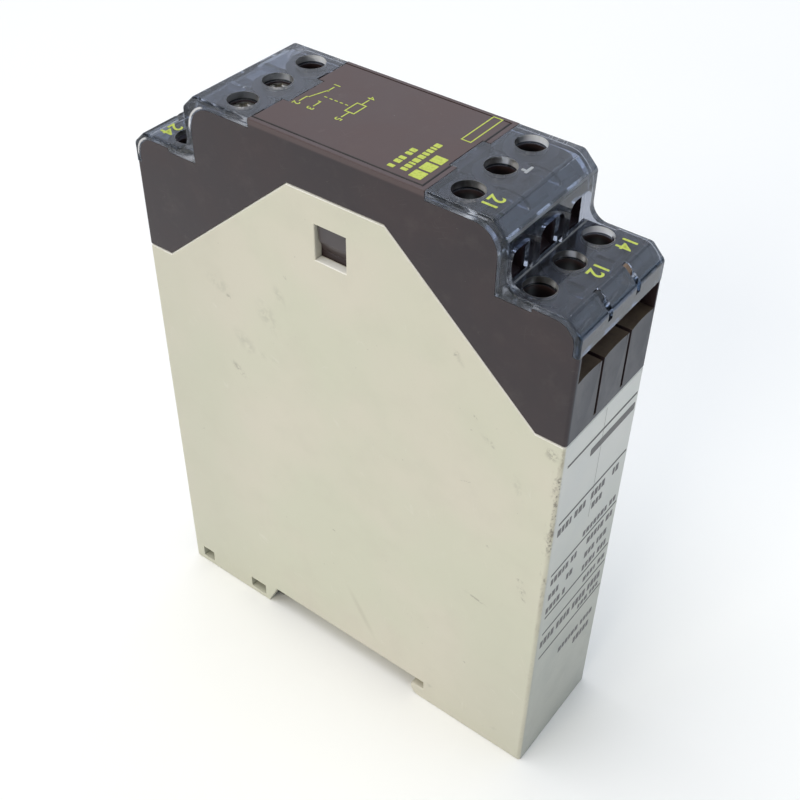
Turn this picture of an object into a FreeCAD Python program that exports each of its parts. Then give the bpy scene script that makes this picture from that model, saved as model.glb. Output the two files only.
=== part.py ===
import FreeCAD, Part
import math
import os

V = FreeCAD.Vector
os.makedirs("parts", exist_ok=True)

# ---------------------------------------------------------------------------
# Driving dimensions (mm).  X runs along the length of the case, Y across its
# width, Z from the rail side (z = 0) up to the front plate.
# ---------------------------------------------------------------------------
LENGTH = 80.0            # case length
WIDTH = 22.5             # case width, one module
HEIGHT = 109.0           # rail feet to front plate
HX, HY = LENGTH / 2, WIDTH / 2

BASE_WALL = 1.5          # wall of the pale base shell
BORDER_END = 77.9        # height of the pale/dark border at the two ends
BORDER_TOP = 101.1       # height of the border under the front plate
BORDER_X1 = 35.06        # where the border starts to climb
BORDER_X2 = 8.74         # where the border is level again
BORDER_GAP = 0.08        # joint line between the two mouldings
CORNER_R = 0.6           # upright outer corners
EDGE_R = 0.18            # broken edges of the two mouldings
BORDER_R = 0.38          # rounded rim of the pale shell along the border

RAIL_SEAT = 5.0          # height of the rail seat
RAIL_X0, RAIL_X1 = -17.7, 18.4   # ends of the seat
HOOK_NOSE = 15.6         # tip of the fixed hook
HOOK_TOP = 2.9           # upper face of the fixed hook
BASE_FLOOR = 6.6         # inner floor above the rail seat
FOOT_FLOOR = 1.6         # inner floor of the hollow right foot

WINDOW = (-3.77, 2.0, 90.1, 96.24)   # snap window x0, x1, z0, z1

PLATE_X = 15.2           # half length of the raised front
PLATE_T = 1.3            # thickness of the front plate
RIM = 0.7                # rim around the front plate

TIER = 10.0              # height step between the two terminal tiers
TIER_DX = 11.8           # distance of the two screw rows
SCREW_X = 19.5           # upper screw row
PITCH_Y = 7.5            # terminal pitch across the width
CELL_W = 5.9             # width of one terminal chamber
COVER_T = 1.3            # wall of the clear covers
COVER_BOTTOM = 93.55     # lower edge of a cover at the end of the case
COVER_HOLE = 2.3         # radius of a screwdriver hole
BOSS_R = 3.85            # radius of the screw bosses under the covers

BAR_TOP = 98.9           # clamping face of the upper terminals
BAR_T = 1.0
CLAMP_T = 1.0
CLAMP_REST = 101.9       # underside of a half open upper clamp plate
CLAMP_OPEN = 104.1       # the same in its highest place
HEAD_R, HEAD_H = 2.1, 2.45
SHANK_R, SHANK_L = 1.3, 8.1

LATCH_TRAVEL = 3.0
ARM_ANGLE = 6.0          # opening angle of the relay armature, degrees

# ---------------------------------------------------------------------------
# Small helpers
# ---------------------------------------------------------------------------


def box(x0, x1, y0, y1, z0, z1):
    return Part.makeBox(x1 - x0, y1 - y0, z1 - z0, V(x0, y0, z0))


def cyl(x, y, z, r, h, d=(0, 0, 1)):
    return Part.makeCylinder(r, h, V(x, y, z), V(*d))


def outline(start, *steps):
    """Closed outline in the XZ plane; a step is (x, z) or (xm, zm, x, z) for an arc."""
    edges = []
    p = V(start[0], 0, start[1])
    first = p
    for s in steps:
        if len(s) == 2:
            q = V(s[0], 0, s[1])
            if p.distanceToPoint(q) > 1e-6:
                edges.append(Part.makeLine(p, q))
        else:
            m, q = V(s[0], 0, s[1]), V(s[2], 0, s[3])
            edges.append(Part.Arc(p, m, q).toShape())
        p = q
    if p.distanceToPoint(first) > 1e-6:
        edges.append(Part.makeLine(p, first))
    return Part.Face(Part.Wire(edges))


def prism(face, y0, y1):
    f = face.copy()
    f.translate(V(0, y0, 0))
    return f.extrude(V(0, y1 - y0, 0))


def fuse(*s):
    r = s[0]
    for t in s[1:]:
        r = r.fuse(t)
    return r.removeSplitter()


def cut(s, *tools):
    for t in tools:
        s = s.cut(t)
    return s.removeSplitter()


def mirror_x(s):
    return s.mirror(V(0, 0, 0), V(1, 0, 0))


def edges_where(s, test):
    out = []
    for e in s.Edges:
        b = e.BoundBox
        if test(b, e):
            out.append(e)
    return out


def upright(b, x, y, z0=-1e9, z1=1e9):
    return (abs(b.XMin - x) < 1e-4 and abs(b.XMax - x) < 1e-4
            and abs(b.YMin - y) < 1e-4 and abs(b.YMax - y) < 1e-4
            and b.ZMin > z0 and b.ZMax < z1)


def arc_mid(cx, cz, r, deg):
    a = math.radians(deg)
    return cx + r * math.cos(a), cz + r * math.sin(a)


def spring(radius, wire, length, turns, origin, axis):
    """Round-wire coil along axis, starting at origin."""
    pitch = (length - 2 * wire) / turns
    helix = Part.makeHelix(pitch, length - 2 * wire, radius)
    circle = Part.Wire([Part.makeCircle(wire, V(radius, 0, 0), V(0, 1, 0))])
    s = Part.Wire(helix).makePipeShell([circle], True, True)
    s.translate(V(0, 0, wire))
    rot = FreeCAD.Rotation(V(0, 0, 1), V(*axis))
    s.Placement = FreeCAD.Placement(V(*origin), rot).multiply(s.Placement)
    return s


parts = {}

# ---------------------------------------------------------------------------
# Pale base shell: one moulding with the rail seat, the fixed hook, the latch
# channel and one snap window in each side.
# ---------------------------------------------------------------------------
base_face = outline(
    (-HX, 0), (-19.8, 0), (RAIL_X0, RAIL_SEAT - 0.4), (RAIL_X0, RAIL_SEAT),
    (RAIL_X1, RAIL_SEAT), (RAIL_X1, HOOK_TOP), (HOOK_NOSE + 0.4, HOOK_TOP),
    (HOOK_NOSE, HOOK_TOP - 0.5), (HOOK_NOSE, HOOK_TOP - 1.0),
    (HOOK_NOSE + 0.62, 0.55, HOOK_NOSE + 2.0, 0),
    (HX, 0), (HX, BORDER_END), (BORDER_X1, BORDER_END), (BORDER_X2, BORDER_TOP),
    (-BORDER_X2, BORDER_TOP), (-BORDER_X1, BORDER_END), (-HX, BORDER_END))
base = prism(base_face, -HY, HY)
corner = edges_where(base, lambda b, e: any(upright(b, sx * HX, sy * HY) for sx in (-1, 1) for sy in (-1, 1)))
base = base.makeFillet(CORNER_R, corner)
# broken edge along both sides: ends of the foot and rail notch
base = base.makeFillet(EDGE_R, edges_where(base, lambda b, e: b.YLength < 1e-5 and abs(abs(b.YMin) - HY) < 1e-4 and b.ZMax < RAIL_SEAT + 0.1))


def rim(b, e):
    """Outer edge of the border: both sides, the ends and the corners between them."""
    if b.ZMin < BORDER_END - 1e-4:
        return False
    on_side = b.YLength < 1e-5 and abs(abs(b.YMin) - HY) < 1e-4
    on_end = b.XLength < 1e-5 and abs(abs(b.XMin) - HX) < 1e-4
    return on_side or on_end or (b.ZLength < 1e-5 and b.XLength < CORNER_R + 1e-3 and b.YLength < CORNER_R + 1e-3)


base = base.makeFillet(BORDER_R, edges_where(base, rim))

iy = HY - BASE_WALL
ix = HX - 1.6
base = cut(base,
           box(-ix, ix, -iy, iy, BASE_FLOOR, 130),
           box(20.4, ix, -iy, iy, FOOT_FLOOR, BASE_FLOOR + 1),
           # latch channel, open below, at the end and towards the rail
           box(-HX - 1, RAIL_X0 + 1, -iy, iy, -1, RAIL_SEAT))
# ledges that carry the latch
base = fuse(base,
            box(-HX + 0.6, -20.6, -iy - 0.2, -iy + 1.2, 0, 1.2),
            box(-HX + 0.6, -20.6, iy - 1.2, iy + 0.2, 0, 1.2),
            # post the latch spring leans on
            box(-35.8, -34.6, -2.6, 2.6, 1.0, RAIL_SEAT + 0.5))
for sy in (-1, 1):
    y0, y1 = sorted((sy * (iy - 0.3), sy * (HY + 1)))
    base = cut(base, box(-37.7, -34.8, y0, y1, 1.2, 3.9), box(-24.4, -20.6, y0, y1, 1.2, 3.9))
# snap windows with a broken edge
wx0, wx1, wz0, wz1 = WINDOW
for sy in (-1, 1):
    hole = box(wx0, wx1, *sorted((sy * (iy - 1), sy * (HY + 1))), wz0, wz1)
    b = 0.12
    o = [V(wx0 - b, sy * HY, wz0 - b), V(wx1 + b, sy * HY, wz0 - b), V(wx1 + b, sy * HY, wz1 + b), V(wx0 - b, sy * HY, wz1 + b)]
    i = [V(wx0, sy * (HY - b), wz0), V(wx1, sy * (HY - b), wz0), V(wx1, sy * (HY - b), wz1), V(wx0, sy * (HY - b), wz1)]
    bevel = Part.makeLoft([Part.makePolygon(o + [o[0]]), Part.makePolygon(i + [i[0]])], True)
    base = cut(base, hole, bevel)
# guides for the upright board and two stiffening ribs over the seat
for sx in (-1, 1):
    x0, x1 = sorted((sx * 36.4, sx * (ix + 0.2)))
    base = fuse(base, box(x0, x1, 3.6, 4.9, BASE_FLOOR - 0.1, 66), box(x0, x1, 6.7, 8.0, BASE_FLOOR - 0.1, 66))
base = fuse(base, box(-30, 18, 4.2, 4.9, BASE_FLOOR - 0.1, 9.4), box(-30, 18, 6.7, 7.4, BASE_FLOOR - 0.1, 9.4))
parts["base_housing"] = base

# ---------------------------------------------------------------------------
# Dark terminal housing.  Its side walls are flush with the base above the
# border, an inner skirt reaches down inside the base.
# ---------------------------------------------------------------------------
g = BORDER_GAP
skirt_z = 72.2
sk = HY - BASE_WALL - 0.1          # outer face of the inner skirt
skx = ix - 0.1


def side_outline(s):
    """Upper outline of a side wall on the +X half, mirrored by s = -1."""
    a = arc_mid(22.75, 103.5, 4.0, 45)
    c = arc_mid(35.8, 95.0, 3.2, 45)
    pts = [(HX, COVER_BOTTOM - 0.05), (39.0, COVER_BOTTOM - 0.05), (39.0, 95.0), (c[0], c[1], 35.8, 98.2),
           (32.5, 98.2), (32.5, 97.6), (26.75, 97.6), (26.75, 103.5), (a[0], a[1], 22.75, 107.5),
           (PLATE_X, 107.5), (PLATE_X, HEIGHT)]
    return pts


def mirrored(pts):
    """The same outline walked from the plate to the left end."""
    rev = []
    flat = [(p[-2], p[-1]) for p in pts]
    for k in range(len(pts) - 1, 0, -1):
        tgt = flat[k - 1]
        if len(pts[k]) == 4:
            rev.append((-pts[k][0], pts[k][1], -tgt[0], tgt[1]))
        else:
            rev.append((-tgt[0], tgt[1]))
    return [(-flat[-1][0], flat[-1][1])] + rev


right = side_outline(1)
slope = (BORDER_TOP - BORDER_END) / (BORDER_X1 - BORDER_X2)
dx = g * (math.hypot(1, slope) - 1) / slope
top_face = outline((-HX, BORDER_END + g), (-BORDER_X1 + dx, BORDER_END + g), (-BORDER_X2 + dx, BORDER_TOP + g),
                   (BORDER_X2 - dx, BORDER_TOP + g), (BORDER_X1 - dx, BORDER_END + g), (HX, BORDER_END + g),
                   *right, *mirrored(right), (-HX, BORDER_END + g))
hood = prism(top_face, -HY, HY)
corner = edges_where(hood, lambda b, e: any(upright(b, sx * HX, sy * HY) for sx in (-1, 1) for sy in (-1, 1)))
hood = hood.makeFillet(CORNER_R, corner)
# broken edge along the border and along the front


def border_height(x):
    f = min(max((BORDER_X1 - abs(x)) / (BORDER_X1 - BORDER_X2), 0), 1)
    return BORDER_END + f * (BORDER_TOP - BORDER_END)


def front_or_border(b, e):
    if b.YLength > 1e-5 or abs(abs(b.YMin) - HY) > 1e-4:
        return False
    q = e.valueAt((e.FirstParameter + e.LastParameter) / 2)
    return b.ZMin > HEIGHT - 1e-4 or abs(q.z - border_height(q.x)) < 0.3


hood = hood.makeFillet(EDGE_R, edges_where(hood, front_or_border))
inner_face = outline((-skx, skirt_z), (skx, skirt_z), (skx, 88), (25, 90), (PLATE_X, 104), (-PLATE_X, 104), (-25, 90), (-skx, 88))
hood = fuse(hood, prism(inner_face, -sk, sk))

# space kept for the covers: everything outside the covers' inner faces
cy = HY - COVER_T + 0.1
roof, roof_low = 106.2, 106.2 - TIER
relief = outline((PLATE_X, roof), (23.9, roof), (26.6, 103.6), (26.6, roof_low), (36.0, roof_low), (38.5, 93.9),
                 (38.5, COVER_BOTTOM - 0.05), (HX + 1, COVER_BOTTOM - 0.05), (HX + 1, 120), (PLATE_X, 120))
relief_r = prism(relief, -cy, cy)
hood = cut(hood, relief_r, mirror_x(relief_r))

bosses, holes, cells, clear = [], [], [], []
for sx in (-1, 1):
    for tier in (0, 1):
        xs = SCREW_X + tier * TIER_DX
        dz = -tier * TIER
        for c in (-PITCH_Y, 0, PITCH_Y):
            boss = cyl(sx * xs, c, roof + dz - 0.2, BOSS_R, 107.6 - roof + 0.2)
            bosses.append(boss.common(box(-50, 50, -cy + 0.1, cy - 0.1, 0, 120)))
            holes.append(cyl(sx * xs, c, 104 + dz, COVER_HOLE, 6))
            h = CELL_W / 2
            x0, x1 = sorted((sx * (xs - 3.5), sx * (xs + 5.7 if tier == 0 else HX - 3.0)))
            cells.append(box(x0, x1, c - h, c + h, BAR_TOP - BAR_T + dz, 105.3 + dz))
            # wire funnel towards the outside, its floor falling outwards
            if tier == 0:
                f = outline((24.9, BAR_TOP), (27.2, BAR_TOP - 1.0), (27.2, 104.1), (24.9, 104.1))
                cells.append(mirror_x(prism(f, c - h + 0.1, c + h - 0.1)) if sx < 0 else prism(f, c - h + 0.1, c + h - 0.1))
            # relief under the screw and slot for the tail of the bar
            clear.append(cyl(sx * xs, c, 90 + dz, 1.9, 9))
            ty = c - math.copysign(0.7, c) if c else 0.0
            x0, x1 = sorted((sx * (xs - 3.3), sx * (xs - 2.1)))
            clear.append(box(x0, x1, ty - 1.25, ty + 1.25, 95 + dz, 99 + dz))
for b in bosses:
    hood = hood.fuse(b)
hood = hood.removeSplitter()
# inner hollow, three steps
hood = cut(hood,
           box(-36.6, 36.6, -8.35, 8.35, 60, 86.6),
           box(-26.0, 26.0, -8.35, 8.35, 60, 96.6),
           box(-14.6, 14.6, -8.35, 8.35, 60, 106.2))
for t in cells + holes + clear:
    hood = hood.cut(t)
# open front of the lower chambers, floors of the wire entries reach the end face
for sx in (-1, 1):
    x0, x1 = sorted((sx * 37.0, sx * (HX + 1)))
    hood = hood.cut(box(x0, x1, -PITCH_Y - CELL_W / 2, PITCH_Y + CELL_W / 2, BAR_TOP - TIER, COVER_BOTTOM + 1.3))
    # slits between the three end panels
    for c in (-PITCH_Y / 2, PITCH_Y / 2):
        x0, x1 = sorted((sx * 37.2, sx * (HX + 1)))
        hood = hood.cut(box(x0, x1, c - 0.35, c + 0.35, BORDER_END + g + 0.9, BAR_TOP - TIER + 0.1))
    # shallow scoop in each panel, deepest at the wire entry
    for c in (-PITCH_Y, 0, PITCH_Y):
        r = 35.0
        tilt = math.radians(1.0)
        d = V(-sx * math.sin(tilt), 0, math.cos(tilt))
        p = V(sx * (HX + r + 0.02), c, BORDER_END + 1.4)
        tool = Part.makeCylinder(r, 14, p, d)
        w = CELL_W / 2 - 0.05
        hood = hood.cut(tool.common(box(-50, 50, c - w, c + w, BORDER_END + 1.2, BAR_TOP - TIER + 0.5)))
hood = hood.removeSplitter()
# dividing fins that stand in the slots of the covers
fin = outline((36.2, 94.5), (37.45, 94.5), (38.45, 93.9), (38.45, 98.2), (37.75, 98.85), (37.32, 98.85), (37.32, 96.6), (36.2, roof_low - 0.1))
for sx in (-1, 1):
    for c in (-PITCH_Y / 2, PITCH_Y / 2):
        s = prism(fin, c - 0.44, c + 0.44)
        hood = hood.fuse(mirror_x(s) if sx < 0 else s)
hood = hood.removeSplitter()
# recess and opening for the front plate
px0, px1, py = -PLATE_X - 1, PLATE_X - RIM, HY - RIM
hood = cut(hood, box(px0, px1, -py, py, HEIGHT - PLATE_T, HEIGHT + 1), box(-13.0, 12.4, -7.6, 7.6, 104, HEIGHT),
           box(PLATE_X - 1.3, PLATE_X + 1, -4.0, 4.0, HEIGHT - PLATE_T, HEIGHT + 1))
# snap noses in the windows
for sy in (-1, 1):
    pts = [V(wx0 + 0.35, sy * (sk - 0.3), 91.2), V(wx0 + 0.35, sy * sk, 91.2), V(wx0 + 0.35, sy * 10.5, 93.2),
           V(wx0 + 0.35, sy * 10.7, wz1 - 0.15), V(wx0 + 0.35, sy * (sk - 0.3), wz1 - 0.15)]
    f = Part.Face(Part.makePolygon(pts + [pts[0]]))
    hood = hood.fuse(f.extrude(V(wx1 - wx0 - 0.7, 0, 0)))
hood = hood.removeSplitter()
parts["terminal_housing"] = hood

# ---------------------------------------------------------------------------
# Front plate, clipped flush into the dark housing
# ---------------------------------------------------------------------------
pg = 0.1
plate = box(-PLATE_X + 0.02, px1 - pg, -py + pg, py - pg, HEIGHT - PLATE_T + 0.02, HEIGHT)
plate = plate.makeChamfer(0.18, edges_where(plate, lambda b, e: b.ZMin > HEIGHT - 1e-4))
plate = cut(plate, box(-PLATE_X - 1, -PLATE_X + 1.3, -4.0, 4.0, 100, 120), box(PLATE_X - 1.3, PLATE_X, -4.0, 4.0, 100, 120))
# two clips on the underside
plate = fuse(plate, box(-12.9, -11.9, -5, 5, 104.6, HEIGHT - PLATE_T + 0.1), box(11.3, 12.3, -5, 5, 104.6, HEIGHT - PLATE_T + 0.1))
parts["front_plate"] = plate

# ---------------------------------------------------------------------------
# Clear terminal cover (right), the left one is its mirror image
# ---------------------------------------------------------------------------
t = COVER_T
top, low = HEIGHT, HEIGHT - TIER
rx = 28.2                       # outer face of the step
cr = 2.6                        # hollow rounding at the foot of the step
m = arc_mid(rx + cr, low + cr, cr, 225)
gap = 0.08
a = arc_mid(22.75, 103.5, 4.0 + gap, 45)
c2 = arc_mid(35.8, 95.0, 3.2 + gap, 45)


def bend(x, z, r, steep):
    """Rounded 45 degree bend of the outer face: level to slope, or slope to upright."""
    a, h, f = r * math.tan(math.radians(22.5)), math.sin(math.radians(22.5)), math.cos(math.radians(22.5))
    k = a * math.sqrt(0.5)
    if steep:
        return (x - k, z + k), (x - r + r * f, z - a + r * h, x, z - a)
    return (x - a, z), (x - a + r * h, z - r + r * f, x + k, z - k)


cov_face = outline(
    (PLATE_X + 0.1, top), *bend(25.8, top, 1.2, False), *bend(rx, 106.6, 1.0, True), (rx, low + cr), (m[0], m[1], rx + cr, low),
    *bend(37.8, low, 1.0, False), *bend(HX, 96.8, 1.0, True), (HX, COVER_BOTTOM), (39.0 + gap, COVER_BOTTOM), (39.0 + gap, 95.0),
    (c2[0], c2[1], 35.8, 98.2 + gap), (32.5 - gap, 98.2 + gap), (32.5 - gap, 97.6 + gap), (26.75 + gap, 97.6 + gap),
    (26.75 + gap, 103.5), (a[0], a[1], 22.75, 107.5 + gap), (PLATE_X + 0.1, 107.5 + gap))
cover = prism(cov_face, -HY, HY)
cov_hull = outline((PLATE_X, top), (25.8, top), (rx, 106.6), (rx, 98), (PLATE_X, 98))
# softened rims along both sides, from the front plate round to the end skirt
outer_mid = [(20.3, top), (27.0, 107.8), (rx, 103.9), m, (34.1, low), (38.9, 97.9), (HX, 95.0),
             (25.76, top - 0.09), (rx - 0.08, 106.57), (37.77, low - 0.08), (HX - 0.08, 96.77)]


def on_outer(b, e):
    if abs(abs(b.YMin) - HY) > 1e-4 or abs(b.YMin - b.YMax) > 1e-4:
        return False
    q = e.valueAt((e.FirstParameter + e.LastParameter) / 2)
    return any(math.hypot(q.x - u, q.z - v) < 0.3 for u, v in outer_mid)


cover = cover.makeFillet(0.35, edges_where(cover, on_outer))
mi = arc_mid(rx + cr, low + cr, cr + t, 225)
k = t * math.tan(math.radians(22.5))
pocket = outline((PLATE_X - 2, top - t), (25.8 - k, top - t), (rx - t, 106.6 - k), (rx - t, low + cr),
                 (mi[0], mi[1], rx + cr, low - t), (37.8 - k, low - t), (HX - t, 96.8 - k), (HX - t, 80), (PLATE_X - 2, 80))
cover = cut(cover, prism(pocket, -HY + t, HY - t))
# end skirt inside the side walls
skirt = box(HX - t, HX - 0.5, -HY + t - 0.02, HY - t + 0.02, COVER_BOTTOM, 95.6)
cover = fuse(cover, skirt)
# foot of the step cleared between the side walls, the lower roof runs on under it
cover = cut(cover, box(rx, rx + cr, -HY + t, HY - t, low, low + cr))
cover = fuse(cover, box(27.5, rx + cr + 0.7, -HY + t - 0.02, HY - t + 0.02, low - t, low),
             *[box(rx - t, rx, c - 0.8, c + 0.8, low - 0.2, low + cr + 0.2) for c in (-PITCH_Y / 2, PITCH_Y / 2)])
# one arched wire opening for each upper terminal
arch_r, arch_top = 1.4, 104.15
for c in (-PITCH_Y, 0, PITCH_Y):
    y0, y1 = max(c - CELL_W / 2, -HY + t), min(c + CELL_W / 2, HY - t)
    k0 = arch_r * (1 - math.sqrt(0.5))
    e = [Part.makeLine(V(0, y0, low), V(0, y0, arch_top - arch_r)),
         Part.Arc(V(0, y0, arch_top - arch_r), V(0, y0 + k0, arch_top - k0), V(0, y0 + arch_r, arch_top)).toShape(),
         Part.makeLine(V(0, y0 + arch_r, arch_top), V(0, y1 - arch_r, arch_top)),
         Part.Arc(V(0, y1 - arch_r, arch_top), V(0, y1 - k0, arch_top - k0), V(0, y1, arch_top - arch_r)).toShape(),
         Part.makeLine(V(0, y1, arch_top - arch_r), V(0, y1, low)), Part.makeLine(V(0, y1, low), V(0, y0, low))]
    arch = Part.Face(Part.Wire(e))
    arch.translate(V(rx - 3, 0, 0))
    cover = cut(cover, arch.extrude(V(3.1, 0, 0)))
# slots over the dividing fins, screwdriver holes
for c in (-PITCH_Y / 2, PITCH_Y / 2):
    cover = cut(cover, box(37.2, HX + 1, c - 0.55, c + 0.55, 95.4, low + 1))
for c in (-PITCH_Y, 0, PITCH_Y):
    cover = cut(cover, cyl(SCREW_X, c, 100, COVER_HOLE, 12), cyl(SCREW_X + TIER_DX, c, 92, COVER_HOLE, 8))
# ribs under the two roofs, between the terminals
for c in (-PITCH_Y / 2, PITCH_Y / 2):
    cover = fuse(cover, box(PLATE_X + 0.3, SCREW_X - 1.95, c - 0.35, c + 0.35, top - t - 1.1, top - t + 0.1),
                 box(SCREW_X + 1.95, rx - t + 0.1, c - 0.35, c + 0.35, top - t - 1.1, top - t + 0.1).common(prism(cov_hull, c - 1, c + 1)),
                 box(SCREW_X + TIER_DX + 1.95, 36.0, c - 0.35, c + 0.35, low - t - 1.1, low - 0.6))
# tongue that snaps under the edge of the front plate
cover = fuse(cover, box(PLATE_X - 1.15, PLATE_X + 0.6, -3.85, 3.85, top - t + 0.02, top))
parts["terminal_cover_right"] = cover
parts["terminal_cover_left"] = mirror_x(cover)

# ---------------------------------------------------------------------------
# Sliding rail latch and its spring
# ---------------------------------------------------------------------------
lat_face = outline((-39.9, 1.45), (-17.6, 1.45), (-15.8, 3.3), (-15.8, 3.9), (-17.0, 3.9), (-17.0, 4.7), (-39.9, 4.7))
latch = prism(lat_face, -iy + 0.35, iy - 0.35)
latch = fuse(latch, box(-39.9, -20.0, -8.2, 8.2, 0.4, 1.6))
latch = cut(latch, box(-36.0, -22.0, -3.0, 3.0, -1, 6), box(-39.0, -37.3, -3.2, 3.2, -1, 3.2))
parts["rail_latch"] = latch
parts["latch_spring"] = spring(1.5, 0.25, 12.4, 8, (-34.5, 0, 2.85), (1, 0, 0))

# ---------------------------------------------------------------------------
# Six fitted terminals: bar, clamp plate and screw.  (side, tier, y)
# ---------------------------------------------------------------------------
terminals = [(1, 0, -PITCH_Y), (1, 1, 0.0), (1, 1, PITCH_Y), (-1, 0, -PITCH_Y), (-1, 0, 0.0), (-1, 1, -PITCH_Y)]
wide_open = (4, 5)            # screws backed right out
board_z0, board_z1 = 70.5, 72.1
tail_cuts = []
for n, (sx, tier, c) in enumerate(terminals, 1):
    xs = SCREW_X + tier * TIER_DX
    dz = -tier * TIER
    ty = c - math.copysign(0.7, c) if c else 0.0
    rest = (CLAMP_OPEN if n in wide_open else CLAMP_REST) + dz
    bar = box(xs - 3.1, xs + 3.9, c - 2.5, c + 2.5, BAR_TOP - BAR_T + dz + 0.02, BAR_TOP + dz)
    bar = bar.fuse(box(xs - 3.1, xs - 2.3, ty - 1.05, ty + 1.05, 69.5, BAR_TOP + dz))
    bar = cut(bar.removeSplitter(), cyl(xs, c, BAR_TOP - 2 + dz, SHANK_R + 0.25, 4))
    # grooves that bite into the wire
    for gx in (2.4, 3.2):
        bar = bar.cut(box(xs + gx - 0.2, xs + gx + 0.2, c - 2.6, c + 2.6, BAR_TOP + dz - 0.2, BAR_TOP + dz + 1))
    plate_c = box(xs - 2.5, xs + 2.9, c - 2.5, c + 2.5, rest, rest + CLAMP_T)
    plate_c = plate_c.makeFillet(0.4, edges_where(plate_c, lambda b, e: b.ZLength > 0.9 and b.XLength < 1e-6 and b.YLength < 1e-6))
    plate_c = cut(plate_c, cyl(xs, c, rest - 1, SHANK_R + 0.25, 3))
    z_h = rest + CLAMP_T + 0.1
    head = cyl(xs, c, z_h, HEAD_R, HEAD_H)
    head = head.makeFillet(0.35, edges_where(head, lambda b, e: b.ZMin > z_h + HEAD_H - 1e-4))
    shank = cyl(xs, c, z_h - SHANK_L, SHANK_R, SHANK_L + 0.2)
    shank = shank.makeChamfer(0.35, edges_where(shank, lambda b, e: b.ZMax < z_h - SHANK_L + 1e-4))
    screw = head.fuse(shank).removeSplitter()
    # combined slot and cross recess
    screw = cut(screw, box(xs - 3, xs + 3, c - 0.3, c + 0.3, z_h + HEAD_H - 0.9, z_h + HEAD_H + 1),
                box(xs - 0.35, xs + 0.35, c - 1.2, c + 1.2, z_h + HEAD_H - 1.2, z_h + HEAD_H + 1))
    tail_cuts.append(box(xs - 3.25, xs - 2.15, ty - 1.2, ty + 1.2, 60, 80) if sx > 0 else
                     mirror_x(box(xs - 3.25, xs - 2.15, ty - 1.2, ty + 1.2, 60, 80)))
    for name, s in (("terminal_bar", bar), ("clamp_plate", plate_c), ("clamp_screw", screw)):
        parts["%s_%d" % (name, n)] = mirror_x(s) if sx < 0 else s

# ---------------------------------------------------------------------------
# Boards: a level terminal board under the terminals and an upright main board
# ---------------------------------------------------------------------------
tb = box(-36.2, 36.2, -8.2, 8.2, board_z0, board_z1)
parts["terminal_board"] = cut(tb, *tail_cuts, *[box(x - 0.4, x + 0.4, 4.2, 5.0, 60, 80) for x in [-14 + 4 * i for i in range(8)]])
parts["main_board"] = box(-37.8, 37.8, 5.0, 6.6, 9.5, 69.0)
pins = [box(x - 0.3, x + 0.3, 4.4, 4.98, 64.5, 73.2) for x in [-14 + 4 * i for i in range(8)]]
parts["board_link_pins"] = Part.makeCompound(pins)

# ---------------------------------------------------------------------------
# Switching relay on the main board, face of the board at y = 5
# ---------------------------------------------------------------------------
yb = 4.95
parts["relay_base"] = fuse(box(-30, 6, 3.2, yb, 12, 40), box(-28.6, -27.2, -8.0, 3.3, 14.0, 17.0))
ca = (-2.6, 20.0)             # coil axis y, z
core_x0, core_x1 = -27.0, -3.0


def xcyl(x0, x1, r, y=ca[0], z=ca[1]):
    return Part.makeCylinder(r, x1 - x0, V(x0, y, z), V(1, 0, 0))


bobbin = fuse(xcyl(-24.6, -5.0, 3.3), box(-24.6, -23.5, ca[0] - 5.6, ca[0] + 5.6, 14.4, 25.6), box(-6.1, -5.0, ca[0] - 5.6, ca[0] + 5.6, 14.4, 25.6))
parts["relay_bobbin"] = cut(bobbin, xcyl(-30, 0, 2.55))
parts["relay_winding"] = cut(xcyl(-23.4, -6.2, 5.2), xcyl(-30, 0, 3.35))
parts["relay_core"] = fuse(xcyl(core_x0, -4.2, 2.5), xcyl(-4.3, core_x1, 3.4))
# L-shaped yoke: back leg behind the coil, long leg above it
yoke = fuse(box(-26.9, -25.1, -7.4, 2.4, 14.6, 29.4), box(-26.9, -3.4, -7.4, 2.4, 27.6, 29.4))
yoke = fuse(yoke, box(-14.5, -13.5, -3.1, -2.1, 29.3, 33.2))
parts["relay_yoke"] = cut(yoke, xcyl(-30, -20, 2.52))
# armature: hinged on the front end of the long leg, drawn open
hinge = V(-2.6, 0, 28.5)
arm = fuse(box(-2.6, -1.2, -6.6, 1.6, 15.6, 31.2))
arm = fuse(arm, box(-2.6, -1.8, -3.1, -2.1, 31.1, 33.6))
# round bead the armature rocks on
arm = fuse(arm, Part.makeCylinder(0.5, 8.2, V(-2.6, -6.6, 28.5), V(0, 1, 0)))
contact_strip = fuse(box(-1.15, -0.85, -5.4, 0.4, 24.0, 37.0))
rivet = Part.makeCylinder(1.3, 1.7, V(-1.9, -2.5, 35.4), V(1, 0, 0))
contact_strip = fuse(contact_strip, rivet)
for s in (arm, contact_strip):
    s.rotate(hinge, V(0, 1, 0), -ARM_ANGLE)
parts["relay_armature"] = arm
parts["relay_moving_contact"] = contact_strip


def fixed_contact(x_face, side):
    """Upright strip with a rivet; side = +1 when it stands on the +X side of the gap."""
    x0, x1 = sorted((x_face + side * 0.8, x_face + side * 1.2))
    s = box(x0, x1, -5.2, 3.18, 34.2, 36.8)
    xr0 = x_face if side > 0 else x_face - 1.4
    return fuse(s, Part.makeCylinder(1.3, 1.4, V(xr0, -2.5, 35.4), V(1, 0, 0)))


parts["relay_contact_break"] = fixed_contact(-2.86, -1)
parts["relay_contact_make"] = fixed_contact(-0.08, 1)
parts["relay_return_spring"] = spring(0.7, 0.14, 10.1, 11, (-13.45, -2.6, 32.2), (1, 0, 0))
shell = box(-30, 6, -9.4, 3.15, 12, 40)
parts["relay_cover"] = cut(shell, box(-29.2, 5.2, -8.6, 4, 12.8, 39.2))

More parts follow.
